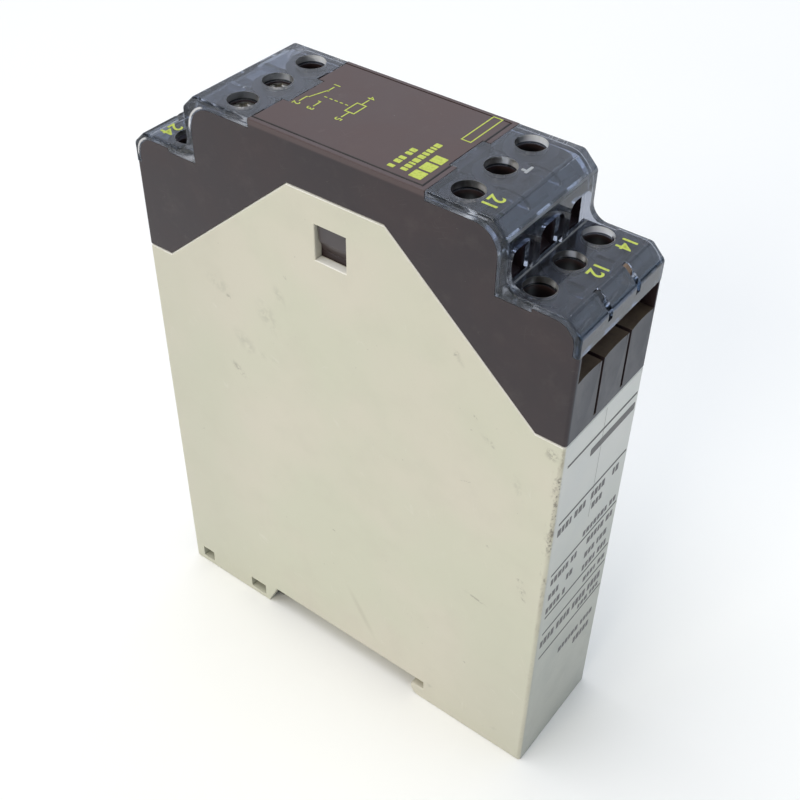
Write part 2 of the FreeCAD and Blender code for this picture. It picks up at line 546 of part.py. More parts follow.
# ---------------------------------------------------------------------------
# Supply and timing parts on the main board
# ---------------------------------------------------------------------------
film = box(-34, -8, -5.0, yb, 45, 61)
parts["film_capacitor"] = film.makeFillet(0.8, edges_where(film, lambda b, e: b.YMax < -4.99 or b.YLength > 5))


def can(x, z, r, h):
    s = Part.makeCylinder(r, h, V(x, yb, z), V(0, -1, 0))
    s = s.makeFillet(0.5, edges_where(s, lambda b, e: b.YMax < yb - h + 1e-4 and b.XLength > r))
    ring = Part.makeTorus(r + 0.15, 0.45, V(x, yb - 1.8, z), V(0, 1, 0))
    return s.cut(ring)


parts["smoothing_capacitor"] = can(20.5, 50.5, 5.0, 12.5)
parts["timing_capacitor"] = can(3, 53, 4.0, 11.0)
res = box(15, 35, -1.4, yb - 0.4, 57.6, 63.8)
parts["dropper_resistor"] = fuse(res.makeFillet(0.5, res.Edges), box(16.4, 17.0, yb - 0.5, yb, 60.4, 61.0), box(33, 33.6, yb - 0.5, yb, 60.4, 61.0))
parts["surge_absorber"] = fuse(
    Part.makeCylinder(4.8, 3.4, V(28.5, -2.2, 40.5), V(1, 0, 0)), box(29.2, 29.8, -2.2, yb, 37.8, 38.4), box(30.6, 31.2, -2.2, yb, 42.6, 43.2))
ic = box(16, 25.6, 0.9, 4.3, 23, 29.4)
ic_legs = [box(17.0 + 2.54 * i - 0.25, 17.0 + 2.54 * i + 0.25, 2.2, yb, z0, z1) for i in range(4) for z0, z1 in ((22.3, 23.1), (29.3, 30.1))]
s = ic.cut(Part.makeCylinder(0.8, 1, V(16, 0.6, 26.2), V(0, 1, 0)))
for q in ic_legs:
    s = s.fuse(q)
parts["timer_chip"] = s.removeSplitter()


def axial(x, z, r, l):
    """Axial part lying along X on the board: round body on one bent round lead."""
    y = yb - r - 0.3
    e = l / 2 + 1.7
    b = 0.7
    k = b * (1 - math.sqrt(0.5))
    pts = [V(x - e, yb, z), V(x - e, y + b, z), V(x - e + k, y + k, z), V(x - e + b, y, z),
           V(x + e - b, y, z), V(x + e - k, y + k, z), V(x + e, y + b, z), V(x + e, yb, z)]
    path = Part.Wire([Part.makeLine(pts[0], pts[1]), Part.Arc(pts[1], pts[2], pts[3]).toShape(), Part.makeLine(pts[3], pts[4]),
                      Part.Arc(pts[4], pts[5], pts[6]).toShape(), Part.makeLine(pts[6], pts[7])])
    ring = Part.Wire([Part.makeCircle(0.3, pts[0], V(0, 1, 0))])
    lead = path.makePipeShell([ring], True, False)
    body = Part.makeCylinder(r, l, V(x - l / 2, y, z), V(1, 0, 0))
    body = body.makeFillet(0.4, [q for q in body.Edges if q.BoundBox.XLength < 1e-6])
    return body.fuse(lead).removeSplitter()


parts["rectifier_diodes"] = Part.makeCompound([axial(12.5, z, 1.35, 5.2) for z in (34, 38, 42, 46)])
parts["resistors"] = Part.makeCompound([axial(20.5, z, 1.2, 6.2) for z in (13.5, 17.5)] + [axial(22.5, 34.5, 1.2, 6.2)] + [axial(30.8, z, 1.2, 6.2) for z in (49.5, 53.5)] + [axial(-29, 65.5, 1.2, 6.2), axial(-20.2, 42.2, 1.2, 6.2)])
tr = Part.makeCylinder(2.4, 4.8, V(31, 1.0, 22), V(0, 0, 1)).cut(box(25, 35, 2.6, 6, 20, 30))
legs = [box(31 - 0.25 + dx_, 31 + 0.25 + dx_, 0.8, 1.3, 18.0, 22.1) for dx_ in (-1.27, 0, 1.27)]
feet = [box(31 - 0.25 + dx_, 31 + 0.25 + dx_, 0.8, yb, 17.6, 18.1) for dx_ in (-1.27, 0, 1.27)]
for q in legs + feet:
    tr = tr.fuse(q)
parts["switching_transistor"] = tr.removeSplitter()

for name, s in parts.items():
    s.exportStep("parts/%s.step" % name)
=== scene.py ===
import math

import bmesh
import bpy
from mathutils import Matrix, Vector


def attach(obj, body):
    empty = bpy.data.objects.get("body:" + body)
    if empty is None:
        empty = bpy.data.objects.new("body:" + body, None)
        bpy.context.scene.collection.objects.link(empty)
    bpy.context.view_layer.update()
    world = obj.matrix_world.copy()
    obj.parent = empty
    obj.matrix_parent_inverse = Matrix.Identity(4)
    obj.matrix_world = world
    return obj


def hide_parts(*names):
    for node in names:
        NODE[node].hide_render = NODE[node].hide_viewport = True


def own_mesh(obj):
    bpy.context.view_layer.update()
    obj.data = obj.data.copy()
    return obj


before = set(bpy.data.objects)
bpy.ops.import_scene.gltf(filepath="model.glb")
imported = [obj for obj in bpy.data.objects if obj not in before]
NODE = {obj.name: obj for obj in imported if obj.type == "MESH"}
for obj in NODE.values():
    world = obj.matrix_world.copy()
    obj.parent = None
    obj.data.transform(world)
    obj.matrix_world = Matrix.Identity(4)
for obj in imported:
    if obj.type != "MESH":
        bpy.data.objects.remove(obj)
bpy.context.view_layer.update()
MM = 0.001

# ---------------------------------------------------------------------------
# Node materials.  Coordinates are the object's own, in metres.
# ---------------------------------------------------------------------------


def rgba(c):
    return (c[0], c[1], c[2], 1.0)


class Look:
    def __init__(self, name):
        self.mat = bpy.data.materials.new(name)
        self.mat.use_nodes = True
        self.nt = self.mat.node_tree
        self.nt.nodes.clear()
        self.out = self.node("ShaderNodeOutputMaterial")
        self.bsdf = self.node("ShaderNodeBsdfPrincipled")
        self.join(self.bsdf.outputs["BSDF"], self.out.inputs["Surface"])
        self.co = self.node("ShaderNodeTexCoord").outputs["Object"]

    def node(self, kind, **props):
        n = self.nt.nodes.new(kind)
        for k, v in props.items():
            setattr(n, k, v)
        return n

    def join(self, a, b):
        self.nt.links.new(a, b)

    def put(self, socket, value):
        if isinstance(value, bpy.types.NodeSocket):
            self.join(value, socket)
        elif isinstance(value, (tuple, list)) and len(value) == 3 and socket.type == "RGBA":
            socket.default_value = rgba(value)
        else:
            socket.default_value = value

    def set(self, **values):
        for k, v in values.items():
            self.put(self.bsdf.inputs[k.replace("_", " ")], v)

    def noise(self, size, detail=2.0, rough=0.5, at=None, distort=0.0):
        n = self.node("ShaderNodeTexNoise")
        self.put(n.inputs["Vector"], at or self.co)
        n.inputs["Scale"].default_value = 1.0 / size
        n.inputs["Detail"].default_value = detail
        n.inputs["Roughness"].default_value = rough
        n.inputs["Distortion"].default_value = distort
        return n.outputs[0]

    def cells(self, size, at=None, feature="F1"):
        n = self.node("ShaderNodeTexVoronoi", feature=feature)
        self.put(n.inputs["Vector"], at or self.co)
        n.inputs["Scale"].default_value = 1.0 / size
        return n.outputs["Distance"]

    def bands(self, size, axis="X", at=None, distort=0.0):
        n = self.node("ShaderNodeTexWave", wave_type="BANDS", bands_direction=axis, wave_profile="SIN")
        self.put(n.inputs["Vector"], at or self.co)
        n.inputs["Scale"].default_value = math.pi / 10 / size      # one band every size metres
        n.inputs["Distortion"].default_value = distort
        return n.outputs[1]

    def place(self, at, turn=(0, 0, 0), size=(1, 1, 1), co=None):
        """Coordinates inside a box of that size, turned and centred at that point."""
        n = self.node("ShaderNodeMapping", vector_type="TEXTURE")
        self.put(n.inputs["Vector"], co or self.co)
        n.inputs["Location"].default_value = at
        n.inputs["Rotation"].default_value = turn
        n.inputs["Scale"].default_value = size
        return n.outputs[0]

    def calc(self, op, a, b=0.0, clamp=False):
        n = self.node("ShaderNodeMath", operation=op, use_clamp=clamp)
        self.put(n.inputs[0], a)
        self.put(n.inputs[1], b)
        return n.outputs[0]

    def length(self, v):
        n = self.node("ShaderNodeVectorMath", operation="LENGTH")
        self.put(n.inputs[0], v)
        return n.outputs["Value"]

    def axis(self, i, co=None):
        n = self.node("ShaderNodeSeparateXYZ")
        self.put(n.inputs[0], co or self.co)
        return n.outputs[i]

    def remap(self, x, a, b, lo=0.0, hi=1.0):
        n = self.node("ShaderNodeMapRange", interpolation_type="SMOOTHSTEP")
        self.put(n.inputs[0], x)
        for i, v in zip((1, 2, 3, 4), (a, b, lo, hi)):
            n.inputs[i].default_value = v
        return n.outputs[0]

    def mix(self, f, a, b):
        n = self.node("ShaderNodeMix", data_type="RGBA")
        self.put(n.inputs[0], f)
        self.put(n.inputs[6], rgba(a) if isinstance(a, tuple) else a)
        self.put(n.inputs[7], rgba(b) if isinstance(b, tuple) else b)
        return n.outputs[2]

    def blob(self, at, size, turn=(0, 0, 0), soft=0.35):
        """1 inside an ellipsoid with those half axes, fading to 0 at its skin."""
        return self.remap(self.length(self.place(at, turn, size)), soft, 1.0, 1.0, 0.0)

    def bump(self, height, strength, depth, under=None):
        n = self.node("ShaderNodeBump")
        n.inputs["Strength"].default_value = strength
        n.inputs["Distance"].default_value = depth
        self.put(n.inputs["Height"], height)
        if under is not None:
            self.put(n.inputs["Normal"], under)
        return n.outputs["Normal"]

    def edge(self, radius, samples=4):
        """1 along edges, 0 on flat faces."""
        b = self.node("ShaderNodeBevel", samples=samples)
        b.inputs["Radius"].default_value = radius
        g = self.node("ShaderNodeNewGeometry")
        d = self.node("ShaderNodeVectorMath", operation="DOT_PRODUCT")
        self.join(b.outputs[0], d.inputs[0])
        self.join(g.outputs["Normal"], d.inputs[1])
        return self.remap(d.outputs["Value"], 0.985, 0.80)

    def corner(self, reach, samples=4):
        """1 in tight corners, 0 in the open."""
        n = self.node("ShaderNodeAmbientOcclusion", samples=samples, only_local=False)
        n.inputs["Distance"].default_value = reach
        return self.remap(n.outputs["AO"], 0.75, 0.15)

    def hairs(self, at, spacing, thin=0.010, keep=(0.58, 0.66), patch=4 * MM):
        """Sparse hairline scratches: thin contour lines of a much stretched noise, kept in patches."""
        n = self.noise(spacing, 0.0, 0.4, at)
        line = self.remap(self.calc("ABSOLUTE", self.calc("SUBTRACT", n, 0.5)), thin, thin * 0.3)
        return self.calc("MULTIPLY", line, self.remap(self.noise(patch, 2.0), *keep))


def stretched(m, ratio, turn):
    return m.place((0, 0, 0), turn, ratio)


LOOKS = {}

# --- pale base moulding ------------------------------------------------------
m = Look("pale_moulding")
broad = m.noise(26 * MM, 2.5, 0.55)
cloud = m.noise(7 * MM, 4.0, 0.6)
tone = m.mix(m.remap(broad, 0.36, 0.68), (0.608, 0.611, 0.500), (0.645, 0.615, 0.524))
tone = m.mix(m.calc("MULTIPLY", m.remap(cloud, 0.46, 0.74), 0.20), tone, (0.560, 0.545, 0.462))
speck = m.remap(m.noise(0.62 * MM, 2.0, 0.5), 0.735, 0.775)
speck = m.calc("MULTIPLY", speck, m.remap(m.noise(11 * MM, 2.0), 0.44, 0.62))
tone = m.mix(m.calc("MULTIPLY", speck, 0.55), tone, (0.215, 0.190, 0.150))
# rubbed marks on the near side: (x, z, half length, half width, turn)
rub = None
grit = m.remap(m.noise(0.55 * MM, 3.0, 0.65), 0.44, 0.60)
for x, z, a, b, deg in ((-21.9, 60.1, 2.7, 1.0, 38), (36.1, 44.9, 1.5, 1.1, 60), (35.6, 46.8, 0.9, 0.6, 10), (28.1, 36.8, 2.9, 0.35, 10),
                        (38.1, 75.6, 1.6, 1.4, 30), (39.2, 70.2, 0.5, 2.6, 0), (39.3, 58.0, 0.4, 3.4, 0), (-10.0, 84.3, 0.7, 0.35, 50),
                        (29.4, 50.6, 0.5, 0.35, 0), (28.6, 72.0, 0.9, 0.5, 70), (15.0, 22.0, 1.0, 0.25, 25), (-33.0, 40.0, 0.8, 0.3, -30),
                        (24.6, 62.0, 1.6, 0.16, -20), (-2.0, 33.0, 1.3, 0.16, 15),
                        (-22.7, 75.0, 1.1, 0.45, 20), (21.5, 85.3, 0.9, 0.4, -50), (25.3, 75.5, 0.7, 0.35, 40), (36.6, 43.0, 0.8, 0.35, 45), (26.9, 18.5, 0.5, 0.3, 0)):
    s = m.blob((x * MM, -11.25 * MM, z * MM), (a * MM, 1.5 * MM, b * MM), (0, math.radians(deg), 0), 0.15)
    rub = s if rub is None else m.calc("MAXIMUM", rub, s)
rub = m.calc("MULTIPLY", rub, grit)
tone = m.mix(m.calc("MULTIPLY", rub, 0.72), tone, (0.300, 0.285, 0.240))
# painted shade: the left end and the lower right of both sides darkened, where the light falls off
falloff_shade = m.calc("MAXIMUM", m.remap(m.axis(0), -12 * MM, -38 * MM, 0.0, 0.55),
              m.calc("MULTIPLY", m.remap(m.axis(0), 14 * MM, 38 * MM), m.remap(m.axis(2), 52 * MM, 8 * MM, 0.0, 0.75)))
tone = m.mix(falloff_shade, tone, (0.555, 0.553, 0.458))
# soft grey scuffs on the near side: (x, z, half length, half width, turn)
scuffs = None
for x, z, a, b, deg in ((-14.2, 74.6, 4.6, 2.8, 65), (-19.6, 66.8, 4.2, 2.2, 40), (-24.5, 76.5, 3.8, 2.0, 15), (-14.5, 66.0, 2.6, 1.3, 5), (-11.5, 80.0, 2.6, 1.4, 60),
                        (34.0, 4.8, 1.6, 0.9, 20), (19.8, 5.2, 1.1, 0.9, 0), (22.0, 84.6, 2.2, 0.8, 55), (27.6, 72.6, 2.4, 1.0, 40), (33.5, 66.0, 3.0, 1.2, 70)):
    c = m.blob((x * MM, -11.25 * MM, z * MM), (a * MM, 1.5 * MM, b * MM), (0, math.radians(deg), 0), 0.0)
    scuffs = c if scuffs is None else m.calc("MAXIMUM", scuffs, c)
scuffs = m.calc("MULTIPLY", scuffs, m.remap(m.noise(1.3 * MM, 4.0, 0.65), 0.42, 0.60))
tone = m.mix(m.calc("MULTIPLY", scuffs, 0.60), tone, (0.470, 0.465, 0.388))
# long faint smear low on the near side, and hand grease on the far one
smear = m.blob((4.0 * MM, -11.25 * MM, 14.4 * MM), (8.2 * MM, 2 * MM, 1.0 * MM), (0, math.radians(60), 0), 0.1)
smear = m.calc("MAXIMUM", smear, m.blob((-8 * MM, 11.25 * MM, 44 * MM), (9 * MM, 2 * MM, 2.2 * MM), (0, math.radians(-35), 0), 0.1))
tone = m.mix(m.calc("MULTIPLY", smear, 0.30), tone, (0.42, 0.40, 0.32))
hair = m.calc("MAXIMUM", m.hairs(stretched(m, (50, 1, 1), (0, math.radians(24), 0)), 1.3 * MM),
              m.hairs(stretched(m, (1, 1, 45), (math.radians(12), math.radians(-9), 0)), 1.7 * MM))
tone = m.mix(m.calc("MULTIPLY", hair, 0.22), tone, (0.74, 0.72, 0.66))
worn = m.calc("MULTIPLY", m.edge(0.30 * MM), m.remap(m.noise(2.4 * MM, 3.0, 0.6), 0.34, 0.62))
tone = m.mix(m.calc("MULTIPLY", worn, 0.38), tone, (0.76, 0.745, 0.68))
nick = m.calc("MULTIPLY", m.edge(0.22 * MM), m.remap(m.noise(1.1 * MM, 3.0, 0.7), 0.60, 0.68))
tone = m.mix(m.calc("MULTIPLY", nick, 0.55), tone, (0.28, 0.255, 0.205))
# painted shade: tight corners, found by ambient occlusion, darkened
tone = m.mix(m.calc("MULTIPLY", m.corner(1.0 * MM), 0.16), tone, (0.30, 0.27, 0.20))
# painted highlight: the upturned rim of the border and the sills of the snap windows lightened where they face up to
# the light
up = m.remap(m.axis(2, m.node("ShaderNodeNewGeometry").outputs["Normal"]), 0.15, 0.55)
rim = m.calc("MAXIMUM", m.remap(m.calc("ABSOLUTE", m.axis(1)), 9.8 * MM, 10.0 * MM), m.remap(m.calc("ABSOLUTE", m.axis(0)), 39.2 * MM, 39.4 * MM))
rim = m.calc("MULTIPLY", m.calc("MULTIPLY", up, rim), m.remap(m.axis(2), 75.0 * MM, 76.5 * MM))
tone = m.mix(m.calc("MULTIPLY", rim, m.remap(m.noise(3 * MM, 3.0), 0.25, 0.60, 0.65, 1.0)), tone, (0.88, 0.87, 0.83))
# grime and chips down the near right corner, heaviest at its top
line = m.length(m.place((39.9 * MM, -11.15 * MM, 0), (0, 0, 0), (1, 1, 1e4)))
chew = m.noise(0.9 * MM, 4.0, 0.7, stretched(m, (1, 1, 2.2), (0, 0, 0)))
# a soft darker line down the corner, broken by noise, below the border
corner_dark_line = m.calc("MULTIPLY", m.remap(line, 0.85 * MM, 0.25 * MM), m.remap(m.noise(2.5 * MM, 3.0, 0.6, stretched(m, (1, 1, 5), (0, 0, 0))), 0.30, 0.62, 0.35, 1.0))
tone = m.mix(m.calc("MULTIPLY", m.calc("MULTIPLY", corner_dark_line, m.remap(m.axis(2), 76.4 * MM, 75.4 * MM)), 0.42), tone, (0.395, 0.372, 0.300))
grime = m.calc("MULTIPLY", m.remap(line, 0.75 * MM, 0.25 * MM), m.remap(chew, 0.44, 0.58))
runs = m.calc("MULTIPLY", m.remap(m.noise(7 * MM, 2.0), 0.42, 0.60), m.remap(m.axis(2), 34 * MM, 62 * MM, 0.10, 1.0))
grime = m.calc("MULTIPLY", grime, runs)
tone = m.mix(m.calc("MULTIPLY", grime, 0.55), tone, (0.300, 0.268, 0.208))
chip = m.calc("MULTIPLY", m.remap(line, 1.7 * MM, 0.3 * MM), m.remap(chew, 0.58, 0.66))
chip = m.calc("MULTIPLY", chip, m.remap(m.axis(2), 30 * MM, 74 * MM, 0.15, 1.0))
tone = m.mix(m.calc("MULTIPLY", chip, 0.60), tone, (0.265, 0.240, 0.195))
bite = m.remap(m.noise(0.42 * MM, 3.0, 0.65, stretched(m, (1, 1, 1.7), (0, math.radians(20), 0))), 0.53, 0.60)
bite = m.calc("MULTIPLY", m.calc("MULTIPLY", bite, m.remap(line, 0.85 * MM, 0.15 * MM)), m.remap(m.noise(4 * MM, 2.0), 0.40, 0.56))
bite = m.calc("MULTIPLY", bite, m.calc("MULTIPLY", m.remap(m.axis(2), 36 * MM, 60 * MM, 0.15, 1.0), m.remap(m.axis(2), 76.6 * MM, 75.6 * MM)))
tone = m.mix(m.calc("MULTIPLY", bite, 0.80), tone, (0.150, 0.138, 0.115))
# painted shade: the printed end is made greyer and bluer, and darker towards the foot
end = m.remap(m.axis(0), 39.88 * MM, 39.97 * MM)
film_and_end_shade = m.calc("ADD", m.remap(m.axis(2), 74 * MM, 12 * MM, 0.72, 0.52), m.calc("MULTIPLY", m.remap(cloud, 0.40, 0.72), 0.10))
tone = m.mix(m.calc("MULTIPLY", end, film_and_end_shade), tone, m.mix(m.remap(m.axis(2), 78 * MM, 10 * MM), (0.685, 0.705, 0.700), (0.335, 0.360, 0.352)))
grain = m.noise(0.16 * MM, 2.0, 0.6)
rough = m.calc("ADD", m.remap(cloud, 0.3, 0.75, 0.40, 0.52), m.calc("MULTIPLY", rub, 0.12))
normal = m.bump(m.calc("ADD", m.calc("MULTIPLY", grain, 0.6), m.calc("MULTIPLY", m.noise(3.5 * MM, 2.0), 1.6)), 0.35, 0.010 * MM)
normal = m.bump(m.calc("ADD", m.calc("MULTIPLY", hair, -0.6), m.calc("MULTIPLY", rub, -0.5)), 0.6, 0.02 * MM, normal)
m.set(Base_Color=tone, Roughness=rough, Normal=normal)
m.bsdf.inputs["Specular IOR Level"].default_value = 0.42
LOOKS["base_housing"] = m.mat


def holes(m):
    """Offsets from the nearest screwdriver hole's axis, the distance to it, and 1 on the lower tier."""
    ax = m.calc("ABSOLUTE", m.axis(0))
    outer = m.calc("GREATER_THAN", ax, 25.4 * MM)
    dx = m.calc("SUBTRACT", ax, m.calc("ADD", m.calc("MULTIPLY", outer, 11.8 * MM), 19.5 * MM))
    dx = m.calc("MULTIPLY", dx, m.calc("SIGN", m.axis(0)))
    dy = m.calc("SUBTRACT", m.axis(1), m.calc("MULTIPLY", m.calc("ROUND", m.calc("DIVIDE", m.axis(1), 7.5 * MM)), 7.5 * MM))
    return dx, dy, m.calc("SQRT", m.calc("ADD", m.calc("MULTIPLY", dx, dx), m.calc("MULTIPLY", dy, dy))), outer


# --- dark brown mouldings ------------------------------------------------------
def dark(name, deep, light, gloss, grain_size, spec=0.5, ledges=False, sheen=(1, 1, 1), seam=None):
    m = Look(name)
    cloud = m.noise(9 * MM, 3.0, 0.6)
    tone = m.mix(m.remap(cloud, 0.35, 0.70), deep, light)
    dust = m.calc("MULTIPLY", m.remap(m.noise(0.45 * MM, 2.0, 0.55), 0.735, 0.79), m.remap(m.noise(8 * MM), 0.45, 0.65))
    tone = m.mix(m.calc("MULTIPLY", dust, 0.55), tone, (0.42, 0.39, 0.35))
    film_and_end_shade = m.remap(m.noise(3.5 * MM, 4.0, 0.65), 0.50, 0.78)
    tone = m.mix(m.calc("MULTIPLY", film_and_end_shade, 0.05), tone, (0.30, 0.27, 0.25))
    hair = m.calc("MAXIMUM", m.hairs(stretched(m, (50, 1, 1), (0, math.radians(-18), math.radians(8))), 1.4 * MM),
                  m.hairs(stretched(m, (1, 50, 1), (0, 0, math.radians(-12))), 1.6 * MM))
    tone = m.mix(m.calc("MULTIPLY", hair, 0.10), tone, (0.20, 0.175, 0.165))
    if ledges:
        # up-facing ledges below z 97.5 painted a lighter brown, in patches
        up = m.remap(m.axis(2, m.node("ShaderNodeNewGeometry").outputs["True Normal"]), 0.80, 0.95)
        ledge_lightening = m.calc("MULTIPLY", up, m.remap(m.axis(2), 97.5 * MM, 97.0 * MM))
        ledge_lightening = m.calc("MULTIPLY", ledge_lightening, m.remap(m.noise(1.4 * MM, 4.0, 0.6), 0.25, 0.60, 0.55, 1.0))
        tone = m.mix(ledge_lightening, tone, (0.108, 0.078, 0.053))
        # painted shade: the housing round and below the screw wells darkened nearly to black
        away, outer = holes(m)[2:]
        well = m.calc("ADD", m.axis(2), m.calc("MULTIPLY", outer, 10 * MM))
        well = m.calc("MULTIPLY", m.remap(well, 107.4 * MM, 106.8 * MM), m.remap(away, 3.6 * MM, 3.0 * MM))
        well = m.calc("MULTIPLY", well, m.remap(m.calc("ABSOLUTE", m.axis(1)), 10.7 * MM, 10.5 * MM))
        tone = m.mix(m.calc("MULTIPLY", well, 0.80), tone, (0.0040, 0.0042, 0.0055))
        # painted reflection: the end panels' faces tinted dark blue for the bluish light they mirror
        front = m.remap(m.calc("ABSOLUTE", m.axis(0, m.node("ShaderNodeNewGeometry").outputs["True Normal"])), 0.90, 0.97)
        front = m.calc("MULTIPLY", front, m.remap(m.calc("ABSOLUTE", m.axis(0)), 38.0 * MM, 38.4 * MM))
        streak = m.remap(m.noise(1.4 * MM, 3.0, 0.6, stretched(m, (1, 1, 6), (0, 0, 0))), 0.35, 0.70)
        tone = m.mix(front, tone, m.mix(streak, (0.0125, 0.0115, 0.0215), (0.0215, 0.0210, 0.0345)))
        lip = m.calc("MULTIPLY", m.remap(m.axis(2), 107.9 * MM, 108.3 * MM), m.remap(m.calc("ABSOLUTE", m.axis(0)), 15.6 * MM, 15.3 * MM))
        tone = m.mix(lip, tone, (0.082, 0.052, 0.050))
        # painted light: the snap noses inside the side windows lightened against the shade of the window walls
        nose = m.calc("MAXIMUM", m.blob((-0.9 * MM, -10.7 * MM, 94.2 * MM), (3.6 * MM, 0.9 * MM, 2.9 * MM), (0, 0, 0), 0.75),
                      m.blob((-0.9 * MM, 10.7 * MM, 94.2 * MM), (3.6 * MM, 0.9 * MM, 2.9 * MM), (0, 0, 0), 0.75))
        tone = m.mix(nose, tone, (0.074, 0.060, 0.061))
        # painted light and shade: the fin under the far slot painted a lit brown, the one under the near slot painted
        # dark
        fin = m.calc("MULTIPLY", m.remap(m.calc("ABSOLUTE", m.axis(0)), 37.26 * MM, 37.30 * MM), m.remap(m.axis(2), 95.6 * MM, 96.0 * MM))
        fin = m.calc("MULTIPLY", fin, m.remap(m.calc("ABSOLUTE", m.calc("SUBTRACT", m.calc("ABSOLUTE", m.axis(1)), 3.75 * MM)), 0.60 * MM, 0.55 * MM))
        tone = m.mix(m.calc("MULTIPLY", fin, m.remap(m.noise(1.1 * MM, 3.0), 0.25, 0.60, 0.6, 1.0)), tone,
                     m.mix(m.remap(m.axis(1), -0.5 * MM, 0.5 * MM), (0.012, 0.010, 0.011), (0.150, 0.088, 0.042)))
    worn = m.calc("MULTIPLY", m.edge(0.22 * MM), m.remap(m.noise(1.8 * MM, 3.0, 0.6), 0.36, 0.64))
    tone = m.mix(m.calc("MULTIPLY", worn, 0.30), tone, (0.17, 0.145, 0.135))
    if seam:
        dirt = m.calc("MAXIMUM", m.remap(m.axis(1), -(seam[1] - 0.32) * MM, -(seam[1] - 0.22) * MM), m.remap(m.axis(0), (seam[0] - 0.32) * MM, (seam[0] - 0.22) * MM))
        tone = m.mix(m.calc("MULTIPLY", dirt, m.remap(m.noise(2.2 * MM, 3.0), 0.25, 0.55, 0.7, 1.0)), tone, (0.014, 0.010, 0.010))
    grain = m.noise(grain_size, 2.0, 0.6)
    rough = m.calc("ADD", m.remap(cloud, 0.3, 0.72, gloss, gloss + 0.09), m.calc("MULTIPLY", film_and_end_shade, 0.06))
    normal = m.bump(grain, 0.30, 0.008 * MM)
    normal = m.bump(m.noise(2.8 * MM, 2.0), 0.25, 0.02 * MM, normal)
    m.set(Base_Color=tone, Roughness=rough, Normal=normal)
    m.bsdf.inputs["Specular IOR Level"].default_value = spec
    m.bsdf.inputs["Specular Tint"].default_value = rgba(sheen)
    return m.mat


LOOKS["terminal_housing"] = dark("dark_moulding", (0.0290, 0.0160, 0.0160), (0.0380, 0.0215, 0.0210), 0.36, 0.15 * MM, 0.47, True, (0.74, 0.88, 1.0))
LOOKS["front_plate"] = dark("dark_plate", (0.0690, 0.0425, 0.0420), (0.0790, 0.0495, 0.0485), 0.40, 0.13 * MM, 0.50, seam=(14.4, 10.45))
LOOKS["rail_latch"] = dark("latch_moulding", (0.0120, 0.0115, 0.0115), (0.0200, 0.0190, 0.0185), 0.36, 0.12 * MM)


